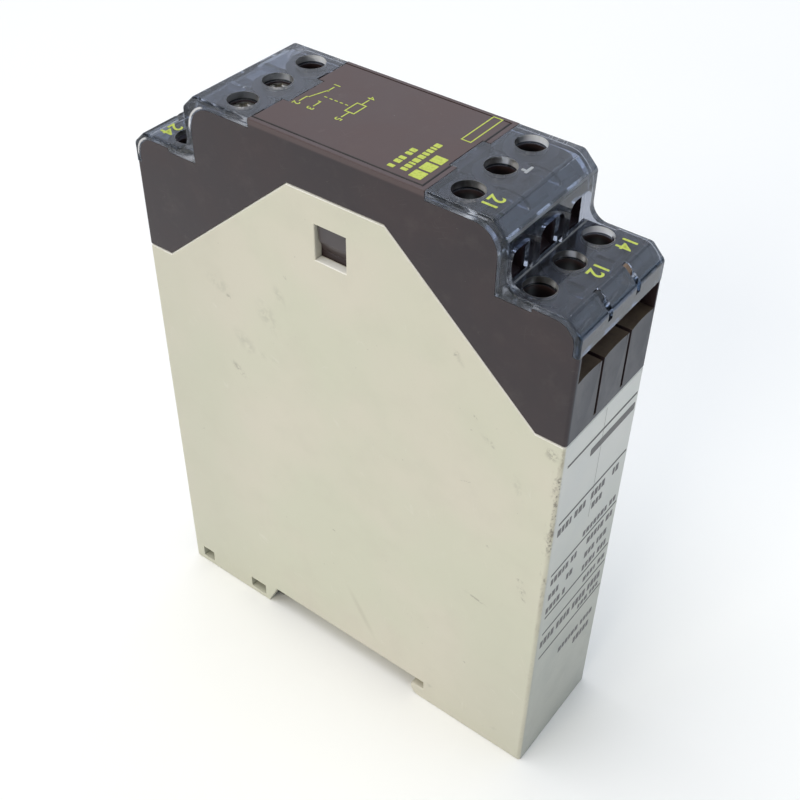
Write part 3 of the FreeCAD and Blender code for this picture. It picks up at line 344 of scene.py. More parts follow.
# --- clear mouldings -----------------------------------------------------------
def clear(name, deep, light, ior, pass_through, sheen=(1, 1, 1), bores=False):
    m = Look(name)
    cloud = m.noise(6 * MM, 3.0, 0.6)
    tint = m.mix(m.remap(cloud, 0.35, 0.70), deep, light)
    smudge = m.remap(m.noise(4.5 * MM, 4.0, 0.65), 0.50, 0.76)
    hair = m.calc("MAXIMUM", m.hairs(stretched(m, (50, 1, 1), (0, 0, math.radians(20))), 1.1 * MM),
                  m.hairs(stretched(m, (1, 50, 1), (0, 0, math.radians(12))), 1.3 * MM))
    rough = m.calc("ADD", m.calc("ADD", 0.025, m.calc("MULTIPLY", smudge, 0.055)), m.calc("MULTIPLY", hair, 0.20))
    if bores:
        # walls of the screwdriver holes, drawn dull by the mould, with a painted lit side and a painted shaded side
        x, y = m.axis(0), m.axis(1)
        ax = m.calc("ABSOLUTE", x)
        dx, dy, away, outer = holes(m)
        wall = m.remap(away, 2.37 * MM, 2.32 * MM)
        streak = m.noise(0.35 * MM, 2.0, 0.5, stretched(m, (1, 1, 8), (0, 0, 0)))
        lit_side = m.remap(m.calc("ADD", m.calc("MULTIPLY", dx, 0.8), m.calc("MULTIPLY", dy, 0.6)), -1.3 * MM, 2.0 * MM)
        pale = m.mix(streak, (0.66, 0.58, 0.46), (0.90, 0.86, 0.78))
        shaded_side = m.mix(streak, (0.045, 0.040, 0.036), (0.16, 0.15, 0.135))
        # the two holes over the backed-out screws get less of the painted lit side
        less_lit = m.calc("MULTIPLY", m.remap(x, -10 * MM, -12 * MM), m.remap(y, 4 * MM, 3 * MM))
        lit_side = m.calc("MULTIPLY", lit_side, m.calc("SUBTRACT", 1.0, m.calc("MULTIPLY", less_lit, 0.55)))
        # painted shade: the hole walls below 0.9 mm depth darkened nearly to black
        depth = m.calc("ADD", m.axis(2), m.calc("SUBTRACT", m.calc("MULTIPLY", outer, 10 * MM), 109 * MM))
        deep_shade = m.calc("MULTIPLY", wall, m.remap(depth, -0.90 * MM, -1.02 * MM))
        tint = m.mix(wall, tint, m.mix(lit_side, shaded_side, pale))
        tint = m.mix(deep_shade, tint, (0.004, 0.004, 0.005))
        # painted shade: the end face and the face of the step tinted darker and bluer
        end_face_shade = m.calc("MULTIPLY", m.remap(ax, 39.0 * MM, 39.6 * MM), m.remap(m.axis(2), 97.6 * MM, 97.0 * MM))
        tint = m.mix(end_face_shade, tint, (0.055, 0.080, 0.125))
        step = m.calc("MULTIPLY", m.remap(m.calc("ABSOLUTE", m.calc("SUBTRACT", ax, 27.7 * MM)), 0.60 * MM, 0.52 * MM), m.remap(m.axis(2), 103.6 * MM, 104.4 * MM))
        tint = m.mix(m.calc("MULTIPLY", step, m.remap(m.axis(2), 107.2 * MM, 106.6 * MM)), tint, (0.120, 0.150, 0.215))
        rough = m.calc("ADD", rough, m.calc("MULTIPLY", wall, m.remap(streak, 0.3, 0.7, 0.35, 0.60)))
        # scuffed edges, partly a painted highlight, a painted highlight along the bend of the step and a painted pale
        # line at its foot where the roof's inner edge would catch the light
        flat = m.node("ShaderNodeNewGeometry").outputs["Normal"]
        nz = m.axis(2, flat)
        bend = m.calc("MULTIPLY", m.remap(nz, 0.08, 0.28), m.remap(nz, 0.66, 0.50))
        bend = m.calc("MULTIPLY", bend, m.remap(m.calc("ABSOLUTE", m.axis(0, flat)), 0.60, 0.72))
        bend = m.calc("MULTIPLY", bend, m.remap(m.axis(2), 103.0 * MM, 104.0 * MM))
        foot = m.calc("MULTIPLY", m.remap(m.calc("ABSOLUTE", m.calc("SUBTRACT", ax, 28.15 * MM)), 0.22 * MM, 0.12 * MM),
                      m.remap(m.calc("ABSOLUTE", m.calc("SUBTRACT", m.axis(2), 99.0 * MM)), 0.14 * MM, 0.08 * MM))
        foot = m.calc("MULTIPLY", foot, m.remap(m.calc("ABSOLUTE", y), 9.95 * MM, 9.75 * MM))
        rim = m.calc("MULTIPLY", m.edge(0.15 * MM), m.remap(m.noise(3.5 * MM, 2.0, 0.5), 0.28, 0.58, 0.65, 1.0))
        scuff_and_highlight = m.calc("MAXIMUM", m.calc("MULTIPLY", rim, 0.24), m.calc("MAXIMUM", m.calc("MULTIPLY", bend, 0.45), m.calc("MULTIPLY", foot, 0.65)))
        tint = m.mix(scuff_and_highlight, tint, (0.60, 0.60, 0.57))
        # painted highlight: pale line along the inner edge of both bends of the left cover
        glint = None
        for cx, cz, r in ((22.75, 103.5, 4.38), (35.8, 95.0, 3.56)):
            u, v = m.calc("SUBTRACT", ax, cx * MM), m.calc("SUBTRACT", m.axis(2), cz * MM)
            ring = m.calc("SQRT", m.calc("ADD", m.calc("MULTIPLY", u, u), m.calc("MULTIPLY", v, v)))
            ring = m.remap(m.calc("ABSOLUTE", m.calc("SUBTRACT", ring, r * MM)), 0.23 * MM, 0.10 * MM)
            ring = m.calc("MULTIPLY", ring, m.calc("MULTIPLY", m.remap(u, 0.9 * MM, 1.8 * MM), m.remap(v, -0.8 * MM, 0.4 * MM)))
            glint = ring if glint is None else m.calc("MAXIMUM", glint, ring)
        glint = m.calc("MULTIPLY", glint, m.calc("MULTIPLY", m.remap(x, -10 * MM, -12 * MM), m.remap(m.calc("ABSOLUTE", y), 10.3 * MM, 10.6 * MM)))
        tint = m.mix(m.calc("MULTIPLY", glint, 0.85), tint, (0.88, 0.88, 0.90))
        # side walls and the bend are a little drawn, so what is seen through them blurs
        drawn = m.calc("MAXIMUM", m.calc("MULTIPLY", m.remap(m.calc("ABSOLUTE", y), 9.8 * MM, 10.3 * MM), 0.20), m.calc("MULTIPLY", bend, 0.30))
        rough = m.calc("ADD", m.calc("ADD", rough, drawn), m.calc("MULTIPLY", scuff_and_highlight, 0.25))
        pass_through = m.calc("SUBTRACT", pass_through, m.calc("MAXIMUM", m.calc("MULTIPLY", scuff_and_highlight, 0.55), m.calc("MULTIPLY", glint, 0.68)))
        m.bsdf.inputs["Coat Weight"].default_value = 0.25
        m.bsdf.inputs["Coat IOR"].default_value = 1.5
        m.bsdf.inputs["Coat Roughness"].default_value = 0.04
    normal = m.bump(m.noise(5 * MM, 1.5), 0.22, 0.05 * MM)
    normal = m.bump(m.calc("MULTIPLY", hair, -1.0), 0.35, 0.01 * MM, normal)
    m.set(Base_Color=tint, Roughness=rough, Normal=normal, Transmission_Weight=pass_through)
    if bores:
        m.set(Coat_Normal=normal)
    m.bsdf.inputs["IOR"].default_value = ior
    m.bsdf.inputs["Specular Tint"].default_value = rgba(sheen)
    return m.mat


LOOKS["terminal_cover_right"] = LOOKS["terminal_cover_left"] = clear("smoked_cover", (0.385, 0.415, 0.49), (0.445, 0.475, 0.55), 1.30, 0.965, (0.72, 0.85, 1.0), True)
LOOKS["relay_cover"] = clear("clear_dust_cover", (0.86, 0.88, 0.88), (0.92, 0.93, 0.93), 1.50, 1.0)


# --- metals --------------------------------------------------------------------
def metal(name, deep, light, gloss, streak=(1, 1, 1)):
    m = Look(name)
    cloud = m.noise(1.6 * MM, 4.0, 0.65)
    lines = m.noise(0.10 * MM, 2.0, 0.5, stretched(m, streak, (0, 0, 0)))
    tone = m.mix(m.remap(cloud, 0.35, 0.72), light, deep)
    worn = m.edge(0.12 * MM)
    tone = m.mix(m.calc("MULTIPLY", worn, 0.30), tone, light)
    rough = m.calc("ADD", m.remap(cloud, 0.30, 0.75, gloss, gloss + 0.14), m.calc("MULTIPLY", lines, 0.08))
    m.set(Base_Color=tone, Roughness=rough, Metallic=1.0, Normal=m.bump(lines, 0.22, 0.006 * MM))
    return m.mat


STEEL = metal("plated_steel", (0.52, 0.50, 0.46), (0.80, 0.78, 0.74), 0.20)
SPRING = metal("spring_wire", (0.42, 0.41, 0.39), (0.66, 0.65, 0.62), 0.24, (6, 1, 1))
TINNED = metal("tinned_strip", (0.50, 0.46, 0.38), (0.74, 0.71, 0.64), 0.30, (1, 6, 1))
IRON = metal("plated_iron", (0.36, 0.355, 0.345), (0.58, 0.575, 0.56), 0.28, (5, 1, 1))
for n in range(1, 7):
    LOOKS["terminal_bar_%d" % n] = TINNED
    LOOKS["clamp_plate_%d" % n] = STEEL
    LOOKS["clamp_screw_%d" % n] = STEEL
LOOKS["board_link_pins"] = TINNED
LOOKS["latch_spring"] = LOOKS["relay_return_spring"] = SPRING
for n in ("relay_core", "relay_yoke", "relay_armature"):
    LOOKS[n] = IRON

# contact strips: bronze, with silver rivets round one axis
m = Look("contact_strip")
cloud = m.noise(1.2 * MM, 4.0, 0.6)
tone = m.mix(m.remap(cloud, 0.35, 0.7), (0.62, 0.40, 0.19), (0.45, 0.27, 0.12))
rivet = m.remap(m.length(m.place((0, -2.5 * MM, 35.4 * MM), (0, 0, 0), (1e3, 1, 1))), 1.42 * MM, 1.34 * MM)
tone = m.mix(rivet, tone, (0.80, 0.79, 0.76))
m.set(Base_Color=tone, Metallic=1.0, Roughness=m.remap(cloud, 0.3, 0.75, 0.26, 0.42), Normal=m.bump(m.noise(0.12 * MM, 2.0), 0.2, 0.006 * MM))
for n in ("relay_moving_contact", "relay_contact_break", "relay_contact_make"):
    LOOKS[n] = m.mat

# --- parts inside the case -------------------------------------------------------
# winding: lacquered wire in close turns along X, painted darker in the grooves between turns as painted shade
m = Look("wire_winding")
turns = m.bands(0.16 * MM, "X", None, 0.15)
tone = m.mix(m.remap(turns, 0.1, 0.9), (0.16, 0.040, 0.016), (0.56, 0.20, 0.085))
tone = m.mix(m.calc("MULTIPLY", m.remap(m.noise(1.5 * MM, 3.0), 0.45, 0.72), 0.35), tone, (0.33, 0.10, 0.035))
m.set(Base_Color=tone, Metallic=0.85, Roughness=m.remap(turns, 0.0, 1.0, 0.42, 0.24), Normal=m.bump(turns, 0.8, 0.05 * MM))
m.bsdf.inputs["Coat Weight"].default_value = 0.5
m.bsdf.inputs["Coat Roughness"].default_value = 0.15
LOOKS["relay_winding"] = m.mat


def moulded(name, deep, light, gloss, grain_size, bump=0.3, depth=0.012 * MM, coat=0.0):
    """Plain moulded or dipped body; returns the look and its colour so that more can go on top."""
    m = Look(name)
    cloud = m.noise(3.2 * MM, 4.0, 0.6)
    tone = m.mix(m.remap(cloud, 0.34, 0.70), deep, light)
    tone = m.mix(m.calc("MULTIPLY", m.remap(m.noise(0.35 * MM, 2.0), 0.70, 0.78), 0.25), tone, tuple(0.5 * c for c in deep))
    worn = m.edge(0.20 * MM)
    tone = m.mix(m.calc("MULTIPLY", worn, 0.16), tone, tuple(min(1.0, c * 1.5 + 0.02) for c in light))
    m.set(Base_Color=tone, Roughness=m.remap(cloud, 0.3, 0.75, gloss, gloss + 0.12), Normal=m.bump(m.noise(grain_size, 3.0, 0.6), bump, depth))
    if coat:
        m.bsdf.inputs["Coat Weight"].default_value = coat
        m.bsdf.inputs["Coat Roughness"].default_value = 0.08
    return m, tone, m.remap(cloud, 0.3, 0.75, gloss, gloss + 0.12)


def leads(m, tone, rough, mask, bright=(0.72, 0.70, 0.66)):
    """Bright tinned wire where the mask is 1."""
    m.set(Base_Color=m.mix(mask, tone, bright), Metallic=mask, Roughness=m.calc("ADD", rough, m.calc("MULTIPLY", mask, -0.12)))


def over(m, axis, limit, blur=0.04 * MM):
    """1 where that coordinate is past the limit."""
    return m.remap(m.axis(axis), limit - blur, limit + blur)


def under(m, axis, limit, blur=0.04 * MM):
    return m.remap(m.axis(axis), limit + blur, limit - blur)


m, t, r = moulded("coil_former", (0.70, 0.68, 0.60), (0.80, 0.78, 0.71), 0.36, 0.3 * MM)
m.bsdf.inputs["Subsurface Weight"].default_value = 0.08
m.bsdf.inputs["Subsurface Radius"].default_value = (0.0012, 0.001, 0.0008)
LOOKS["relay_bobbin"] = m.mat
m, t, r = moulded("relay_foot", (0.018, 0.018, 0.019), (0.030, 0.030, 0.031), 0.40, 0.15 * MM)
LOOKS["relay_base"] = m.mat

# film capacitor: glossy box with a darker potted face towards the board
m, t, r = moulded("film_box", (0.60, 0.36, 0.030), (0.70, 0.45, 0.055), 0.26, 0.4 * MM, 0.2, 0.01 * MM, 0.3)
potting = m.calc("MULTIPLY", over(m, 1, 4.6 * MM, 0.15 * MM), 0.7)
m.set(Base_Color=m.mix(potting, t, (0.30, 0.17, 0.02)))
LOOKS["film_capacitor"] = m.mat


# capacitor cans: shrink sleeve with a pale stripe, bare vented top
def can(name, x, z, r_can, top):
    m, t, r = moulded(name, (0.012, 0.020, 0.060), (0.020, 0.032, 0.090), 0.22, 0.6 * MM, 0.15, 0.01 * MM, 0.4)
    p = m.place((x * MM, 0, z * MM))
    stripe = m.calc("MULTIPLY", m.remap(m.calc("ABSOLUTE", m.axis(0, p)), 1.5 * MM, 1.4 * MM), over(m, 2, z * MM))
    t = m.mix(m.calc("MULTIPLY", stripe, 0.9), t, (0.42, 0.47, 0.56))
    lid = m.calc("MULTIPLY", under(m, 1, (top + 0.35) * MM),
                 m.remap(m.length(m.place((x * MM, 0, z * MM), (0, 0, 0), (1, 1e3, 1))), (r_can - 0.75) * MM, (r_can - 0.85) * MM))
    score = m.calc("MINIMUM", m.calc("ABSOLUTE", m.axis(0, p)), m.calc("ABSOLUTE", m.axis(2, p)))
    lid_tone = m.mix(m.remap(score, 0.10 * MM, 0.18 * MM), (0.25, 0.25, 0.25), (0.74, 0.74, 0.73))
    m.set(Base_Color=m.mix(lid, t, lid_tone), Metallic=lid, Roughness=m.calc("ADD", r, m.calc("MULTIPLY", lid, 0.08)))
    return m.mat


LOOKS["smoothing_capacitor"] = can("can_large", 20.5, 50.5, 5.0, -7.55)
LOOKS["timing_capacitor"] = can("can_small", 3.0, 53.0, 4.0, -6.05)

m, t, r = moulded("cement_body", (0.66, 0.64, 0.58), (0.78, 0.77, 0.72), 0.62, 0.25 * MM, 0.7, 0.05 * MM)
leads(m, t, r, over(m, 1, 4.5 * MM))
LOOKS["dropper_resistor"] = m.mat
m, t, r = moulded("dipped_disc", (0.020, 0.070, 0.26), (0.032, 0.105, 0.34), 0.22, 0.9 * MM, 0.5, 0.06 * MM, 0.5)
leads(m, t, r, m.calc("MULTIPLY", over(m, 1, 2.75 * MM), 1.0))
LOOKS["surge_absorber"] = m.mat

m, t, r = moulded("chip_body", (0.016, 0.016, 0.017), (0.026, 0.026, 0.027), 0.44, 0.10 * MM)
legs = m.calc("MAXIMUM", under(m, 2, 22.98 * MM), over(m, 2, 29.42 * MM))
t2 = m.mix(m.blob((17.6 * MM, 0.9 * MM, 24.4 * MM), (0.45 * MM, 0.4 * MM, 0.45 * MM), (0, 0, 0), 0.8), t, (0.55, 0.55, 0.53))
leads(m, t2, r, legs)
LOOKS["timer_chip"] = m.mat
m, t, r = moulded("transistor_body", (0.016, 0.016, 0.017), (0.026, 0.026, 0.027), 0.40, 0.10 * MM)
leads(m, t, r, under(m, 2, 21.98 * MM))
LOOKS["switching_transistor"] = m.mat

# diodes: black bodies with one pale band, bright leads
m, t, r = moulded("diode_body", (0.018, 0.018, 0.019), (0.030, 0.030, 0.031), 0.34, 0.15 * MM, 0.2, 0.008 * MM)
band = m.remap(m.calc("ABSOLUTE", m.calc("SUBTRACT", m.axis(0), 14.2 * MM)), 0.42 * MM, 0.38 * MM)
t = m.mix(band, t, (0.62, 0.62, 0.61))
lead = m.remap(m.calc("ABSOLUTE", m.calc("SUBTRACT", m.axis(0), 12.5 * MM)), 2.60 * MM, 2.64 * MM)
leads(m, t, r, lead)
LOOKS["rectifier_diodes"] = m.mat

# resistors: lacquered bodies with colour rings; each body is found by its own box
m, t, r = moulded("resistor_body", (0.50, 0.34, 0.17), (0.60, 0.43, 0.24), 0.24, 0.5 * MM, 0.2, 0.01 * MM, 0.3)
body = None
for x, z in ((20.5, 13.5), (20.5, 17.5), (22.5, 34.5), (30.8, 49.5), (30.8, 53.5), (-29.0, 65.5), (-20.2, 42.2)):
    p = m.place((x * MM, 0, z * MM))
    ax, az = m.axis(0, p), m.axis(2, p)
    here = m.calc("MULTIPLY", m.remap(m.calc("ABSOLUTE", ax), 3.14 * MM, 3.10 * MM), m.remap(m.calc("ABSOLUTE", az), 1.6 * MM, 1.5 * MM))
    for dx, c in ((-2.1, (0.25, 0.045, 0.012)), (-1.1, (0.012, 0.012, 0.014)), (-0.1, (0.42, 0.014, 0.012)), (1.9, (0.55, 0.36, 0.06))):
        ring = m.calc("MULTIPLY", here, m.remap(m.calc("ABSOLUTE", m.calc("SUBTRACT", ax, dx * MM)), 0.30 * MM, 0.26 * MM))
        t = m.mix(ring, t, c)
    body = here if body is None else m.calc("MAXIMUM", body, here)
leads(m, t, r, m.calc("SUBTRACT", 1.0, body))
LOOKS["resistors"] = m.mat


# boards: green resist over woven laminate, tracks, bright pads, pale cut edges
def board(name, flat):
    a, b = (0, 2) if flat == 1 else (0, 1)
    m = Look(name)
    weave = m.calc("MULTIPLY", m.bands(0.9 * MM, "XYZ"[a]), m.bands(0.9 * MM, "XYZ"[b]))
    tone = m.mix(m.remap(weave, 0.1, 0.9), (0.020, 0.085, 0.030), (0.028, 0.110, 0.040))
    n = m.node("ShaderNodeTexBrick", offset=0.5, squash=1.0)
    turn = (math.radians(90), 0, 0) if flat == 1 else (0, 0, 0)
    m.put(n.inputs["Vector"], m.place((0, 0, 0), turn, (1, 1, 1)))
    n.inputs["Scale"].default_value = 1.0 / (5.2 * MM)
    n.inputs["Mortar Size"].default_value = 0.10
    n.inputs["Mortar Smooth"].default_value = 0.1
    n.inputs["Brick Width"].default_value = 1.9
    n.inputs["Row Height"].default_value = 0.55
    track = n.outputs["Fac"]
    tone = m.mix(m.calc("MULTIPLY", track, 0.7), tone, (0.060, 0.200, 0.070))
    pad = m.remap(m.cells(4.4 * MM), 0.20, 0.16)
    tone = m.mix(pad, tone, (0.66, 0.64, 0.58))
    cut = m.edge(0.35 * MM)
    tone = m.mix(m.calc("MULTIPLY", cut, 0.5), tone, (0.28, 0.30, 0.14))
    height = m.calc("ADD", m.calc("MULTIPLY", weave, 0.25), m.calc("ADD", track, m.calc("MULTIPLY", pad, 1.5)))
    m.set(Base_Color=tone, Metallic=pad, Roughness=m.remap(m.noise(2 * MM, 3.0), 0.3, 0.7, 0.26, 0.42), Normal=m.bump(height, 0.5, 0.03 * MM))
    return m.mat


LOOKS["main_board"] = board("board_upright", 1)
LOOKS["terminal_board"] = board("board_level", 2)


# --- printing ink ----------------------------------------------------------------
def ink(name, deep, light, gloss):
    m = Look(name)
    wear = m.noise(0.5 * MM, 4.0, 0.65)
    tone = m.mix(m.remap(wear, 0.40, 0.74), light, deep)
    m.set(Base_Color=tone, Roughness=m.remap(wear, 0.3, 0.7, gloss, gloss + 0.15), Normal=m.bump(m.noise(0.14 * MM, 2.0), 0.3, 0.006 * MM))
    return m.mat


LIME = ink("lime_print", (0.36, 0.42, 0.055), (0.50, 0.58, 0.085), 0.42)
GREY = ink("dark_print", (0.19, 0.185, 0.187), (0.095, 0.090, 0.093), 0.45)
RULE = ink("rule_print", (0.10, 0.096, 0.097), (0.050, 0.046, 0.048), 0.45)
FAINT = ink("faint_line", (0.40, 0.40, 0.38), (0.30, 0.30, 0.285), 0.5)

for name, obj in NODE.items():
    obj.material_slots[0].material = LOOKS[name]


# ---------------------------------------------------------------------------
# Added pieces
# ---------------------------------------------------------------------------
def finish_mesh(bm, name, body, mat, smooth=False):
    bmesh.ops.recalc_face_normals(bm, faces=bm.faces)
    me = bpy.data.meshes.new(name)
    bm.to_mesh(me)
    bm.free()
    for p in me.polygons:
        p.use_smooth = smooth
    obj = bpy.data.objects.new(name, me)
    bpy.context.scene.collection.objects.link(obj)
    obj.data.materials.append(mat)
    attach(obj, body)
    return obj


class Print:
    """Thin raised print on a flat face: u and v span the face, n points out of it."""

    def __init__(self, origin, u, v, n, end_face_shade=0.025):
        self.o, self.u, self.v, self.n = (Vector(x) for x in (origin, u, v, n))
        self.t = end_face_shade
        self.bm = bmesh.new()

    def at(self, p, h):
        return (self.o + self.u * p[0] + self.v * p[1] + self.n * h) * MM

    def faces(self, pts, loops):
        top = [self.bm.verts.new(self.at(p, self.t)) for p in pts]
        made = [self.bm.faces.new([top[i] for i in lp]) for lp in loops]
        out = bmesh.ops.extrude_face_region(self.bm, geom=made)
        low = [g for g in out["geom"] if isinstance(g, bmesh.types.BMVert)]
        for g in low:
            g.co -= self.n * (self.t * MM)

    def bar(self, cx, cy, w, h, r=None, steps=4):
        """Field with rounded corners."""
        r = min(w, h) * 0.28 if r is None else r
        pts = []
        for sx, sy, a0 in ((1, 1, 0), (-1, 1, 90), (-1, -1, 180), (1, -1, 270)):
            for k in range(steps + 1):
                a = math.radians(a0 + 90 * k / steps)
                pts.append((cx + sx * (w / 2 - r) + r * math.cos(a), cy + sy * (h / 2 - r) + r * math.sin(a)))
        self.faces(pts, [list(range(len(pts)))])

    def stroke(self, path, w, closed=False):
        """Line of even width with mitred corners."""
        path = [Vector(p) for p in path]
        n = len(path)
        left, right = [], []
        for i, p in enumerate(path):
            d0 = (p - path[i - 1]).normalized() if (i > 0 or closed) else None
            d1 = (path[(i + 1) % n] - p).normalized() if (i < n - 1 or closed) else None
            if d0 is None or d1 is None:
                d = d0 or d1
                off = Vector((-d.y, d.x)) * (w / 2)
            else:
                k = (Vector((-d0.y, d0.x)) + Vector((-d1.y, d1.x))).normalized()
                off = k * (w / 2 / max(0.3, k.dot(Vector((-d1.y, d1.x)))))
            left.append(p + off)
            right.append(p - off)
        loops = []
        for i in range(n if closed else n - 1):
            j = (i + 1) % n
            loops.append([i, j, n + j, n + i])
        self.faces(left + right, loops)

    def row(self, x0, x1, y, h, widths, gap=0.26, word=4, space=0.75):
        """Plain blocks in groups, standing for a line of small print."""
        x, k = x0, 0
        while True:
            w = widths[k % len(widths)]
            if x + w > x1 + 1e-6:
                break
            self.bar(x + w / 2, y, w, h, 0.12)
            k += 1
            x += w + (space if k % word == 0 else gap)

    def disc(self, cx, cy, r, steps=20):
        self.faces([(cx + r * math.cos(2 * math.pi * k / steps), cy + r * math.sin(2 * math.pi * k / steps)) for k in range(steps)], [list(range(steps))])

    def number(self, text, cx, cy, size, bold=0.0, wide=1.0):
        """Plain figures, cx and cy at their middle."""
        cu = bpy.data.curves.new("figures", "FONT")
        cu.body = text
        cu.size = size
        cu.align_x, cu.align_y = "CENTER", "CENTER"
        cu.resolution_u = 4
        cu.extrude = self.t / 2
        cu.offset = bold
        ob = bpy.data.objects.new("figures", cu)
        bpy.context.scene.collection.objects.link(ob)
        bpy.context.view_layer.update()
        me = bpy.data.meshes.new_from_object(ob.evaluated_get(bpy.context.evaluated_depsgraph_get()))
        bpy.data.objects.remove(ob)
        xs = [v.co.x for v in me.vertices]
        ys = [v.co.y for v in me.vertices]
        mx, my = (min(xs) + max(xs)) / 2, (min(ys) + max(ys)) / 2
        for v in me.vertices:
            v.co = self.at((cx + (v.co.x - mx) * wide, cy + (v.co.y - my)), v.co.z + self.t / 2)
        self.bm.from_mesh(me)
        bpy.data.meshes.remove(me)

    def done(self, name, body, mat):
        bmesh.ops.remove_doubles(self.bm, verts=self.bm.verts, dist=1e-7)
        return finish_mesh(self.bm, name, body, mat)


# print that is read from the left end: lines run towards -Y, figures stand towards +X
READ, STAND, UP = (0, -1, 0), (1, 0, 0), (0, 0, 1)

pr = Print((0, 0, 99.0), READ, STAND, UP)
pr.number("12", 0.0, 35.45, 3.25, 0.05)
pr.number("14", -7.8, 35.45, 3.25, 0.05)
pr.done("cover_right_figures_low", "cover_right", LIME)
pr = Print((0, 0, 109.0), READ, STAND, UP)
pr.number("21", 7.75, 23.6, 3.25, 0.05)
pr.done("cover_right_figures_top", "cover_right", LIME)
pr = Print((0, 0, 99.0), READ, STAND, UP)
pr.number("24", 7.75, -35.0, 3.25, 0.05)
pr.done("cover_left_figures", "cover_left", LIME)

# front plate: a plain change-over symbol and marking fields
pr = Print((0, 0, 109.0), READ, STAND, UP)
w = 0.21
# contact: three leads, one moving blade
pr.stroke([(-3.4, -11.6), (-2.0, -11.6)], w)
pr.stroke([(1.15, -12.6), (-1.9, -11.72)], w)
pr.stroke([(2.9, -12.9), (1.25, -12.9), (1.25, -12.72)], w)
pr.stroke([(2.9, -10.3), (1.25, -10.3), (1.25, -10.75)], w)
pr.disc(-1.95, -11.6, 0.20)
# dashed link to the coil
for k in range(5):
    pr.stroke([(-0.3, -10.9 + 0.95 * k), (-0.3, -10.35 + 0.95 * k)], w * 0.9)
# coil with two leads
pr.stroke([(-1.7, -6.0), (1.1, -6.0), (1.1, -4.4), (-1.7, -4.4)], w, True)
pr.stroke([(-3.4, -5.2), (-1.82, -5.2)], w)
pr.stroke([(1.22, -5.2), (2.9, -5.2)], w)
for text, x, y in (("1", -4.05, -11.6), ("2", 3.55, -12.9), ("3", 3.55, -10.3), ("4", -4.05, -5.2), ("5", 3.55, -5.2)):
    pr.number(text, x, y, 1.7, 0.01)
pr.done("plate_symbol", "base", LIME)
pr = Print((0, 0, 109.0), READ, STAND, UP)
pr.stroke([(-10.4, 11.45), (-2.5, 11.45), (-2.5, 12.95), (-10.4, 12.95)], 0.20, True)
pr.row(3.1, 9.7, 12.3, 2.0, (1.75, 1.95, 1.85), 0.42, 9)
pr.row(0.5, 9.7, 10.0, 1.05, (0.95, 0.45, 0.75, 0.65, 0.85), 0.24, 20)
pr.row(3.5, 9.7, 8.1, 1.05, (0.85, 0.70, 0.75), 0.24, 2, 0.7)
pr.done("plate_fields", "base", LIME)

# right end of the base: ruled lines and plain fields
pr = Print((40.0, 0, 0), (0, 1, 0), (0, 0, 1), (1, 0, 0), 0.02)
for z, wide in ((73.2, 0.44), (61.3, 0.42), (49.7, 0.38), (39.4, 0.40), (35.2, 0.38), (28.8, 0.38)):
    pr.stroke([(-9.75, z), (10.4, z)], wide)
pr.done("end_rules", "base", RULE)
pr = Print((40.0, 0, 0), (0, 1, 0), (0, 0, 1), (1, 0, 0), 0.02)
pr.bar(3.7, 70.7, 13.2, 1.5, 0.3)
sizes = ((1.0, 0.75, 0.85, 0.6, 0.95), (0.8, 0.95, 0.7, 0.9), (0.7, 0.9, 1.0, 0.65, 0.8, 0.75))
for k, (y0, y1, z, h, word) in enumerate(((-9.8, -1.5, 59.3, 1.5, 4), (0.0, 4.4, 59.3, 1.5, 9), (6.6, 8.8, 59.3, 1.5, 9), (0.8, 4.6, 56.5, 1.4, 9), (-0.6, 10.2, 51.2, 1.2, 7),
                                          (-9.5, -1.3, 47.8, 1.4, 5), (1.4, 10.0, 47.8, 1.4, 5), (-9.6, -5.8, 44.3, 1.4, 9), (-4.2, -1.5, 44.3, 1.4, 9), (1.4, 9.8, 44.3, 1.4, 3),
                                          (-9.8, -3.0, 41.1, 1.4, 4), (1.4, 9.8, 41.1, 1.4, 4), (2.6, 9.8, 37.1, 1.2, 4), (-10.0, 9.7, 32.6, 1.7, 4), (2.4, 9.4, 30.2, 1.1, 3),
                                          (-2.6, 9.6, 23.4, 1.3, 6), (3.0, 9.4, 20.2, 1.6, 9))):
    pr.row(y0, y1, z, h, sizes[k % 3], 0.28, word, 0.85)
pr.done("end_fields", "base", GREY)
pr = Print((40.0, 0, 0), (0, 1, 0), (0, 0, 1), (1, 0, 0), 0.012)
pr.stroke([(0.30, 77.2), (0.36, 68.0), (0.30, 54.5)], 0.11)
pr.done("end_hairline", "base", FAINT)


# gate stub of the right cover, a small frosted T beside the middle hole
m = Look("frosted_stub")
frost = m.noise(0.2 * MM, 3.0, 0.6)
m.set(Base_Color=m.mix(frost, (0.52, 0.54, 0.58), (0.70, 0.72, 0.75)), Roughness=m.remap(frost, 0.3, 0.7, 0.45, 0.7), Normal=m.bump(frost, 0.5, 0.02 * MM))
m.bsdf.inputs["Transmission Weight"].default_value = 0.5
STUB = m.mat
pr = Print((0, 0, 109.0), READ, STAND, UP, 0.05)
pr.bar(-1.3, 23.0, 1.9, 0.45, 0.12)
pr.bar(-0.9, 22.42, 0.5, 0.62, 0.12)
pr.done("gate_stub_right", "cover_right", STUB)


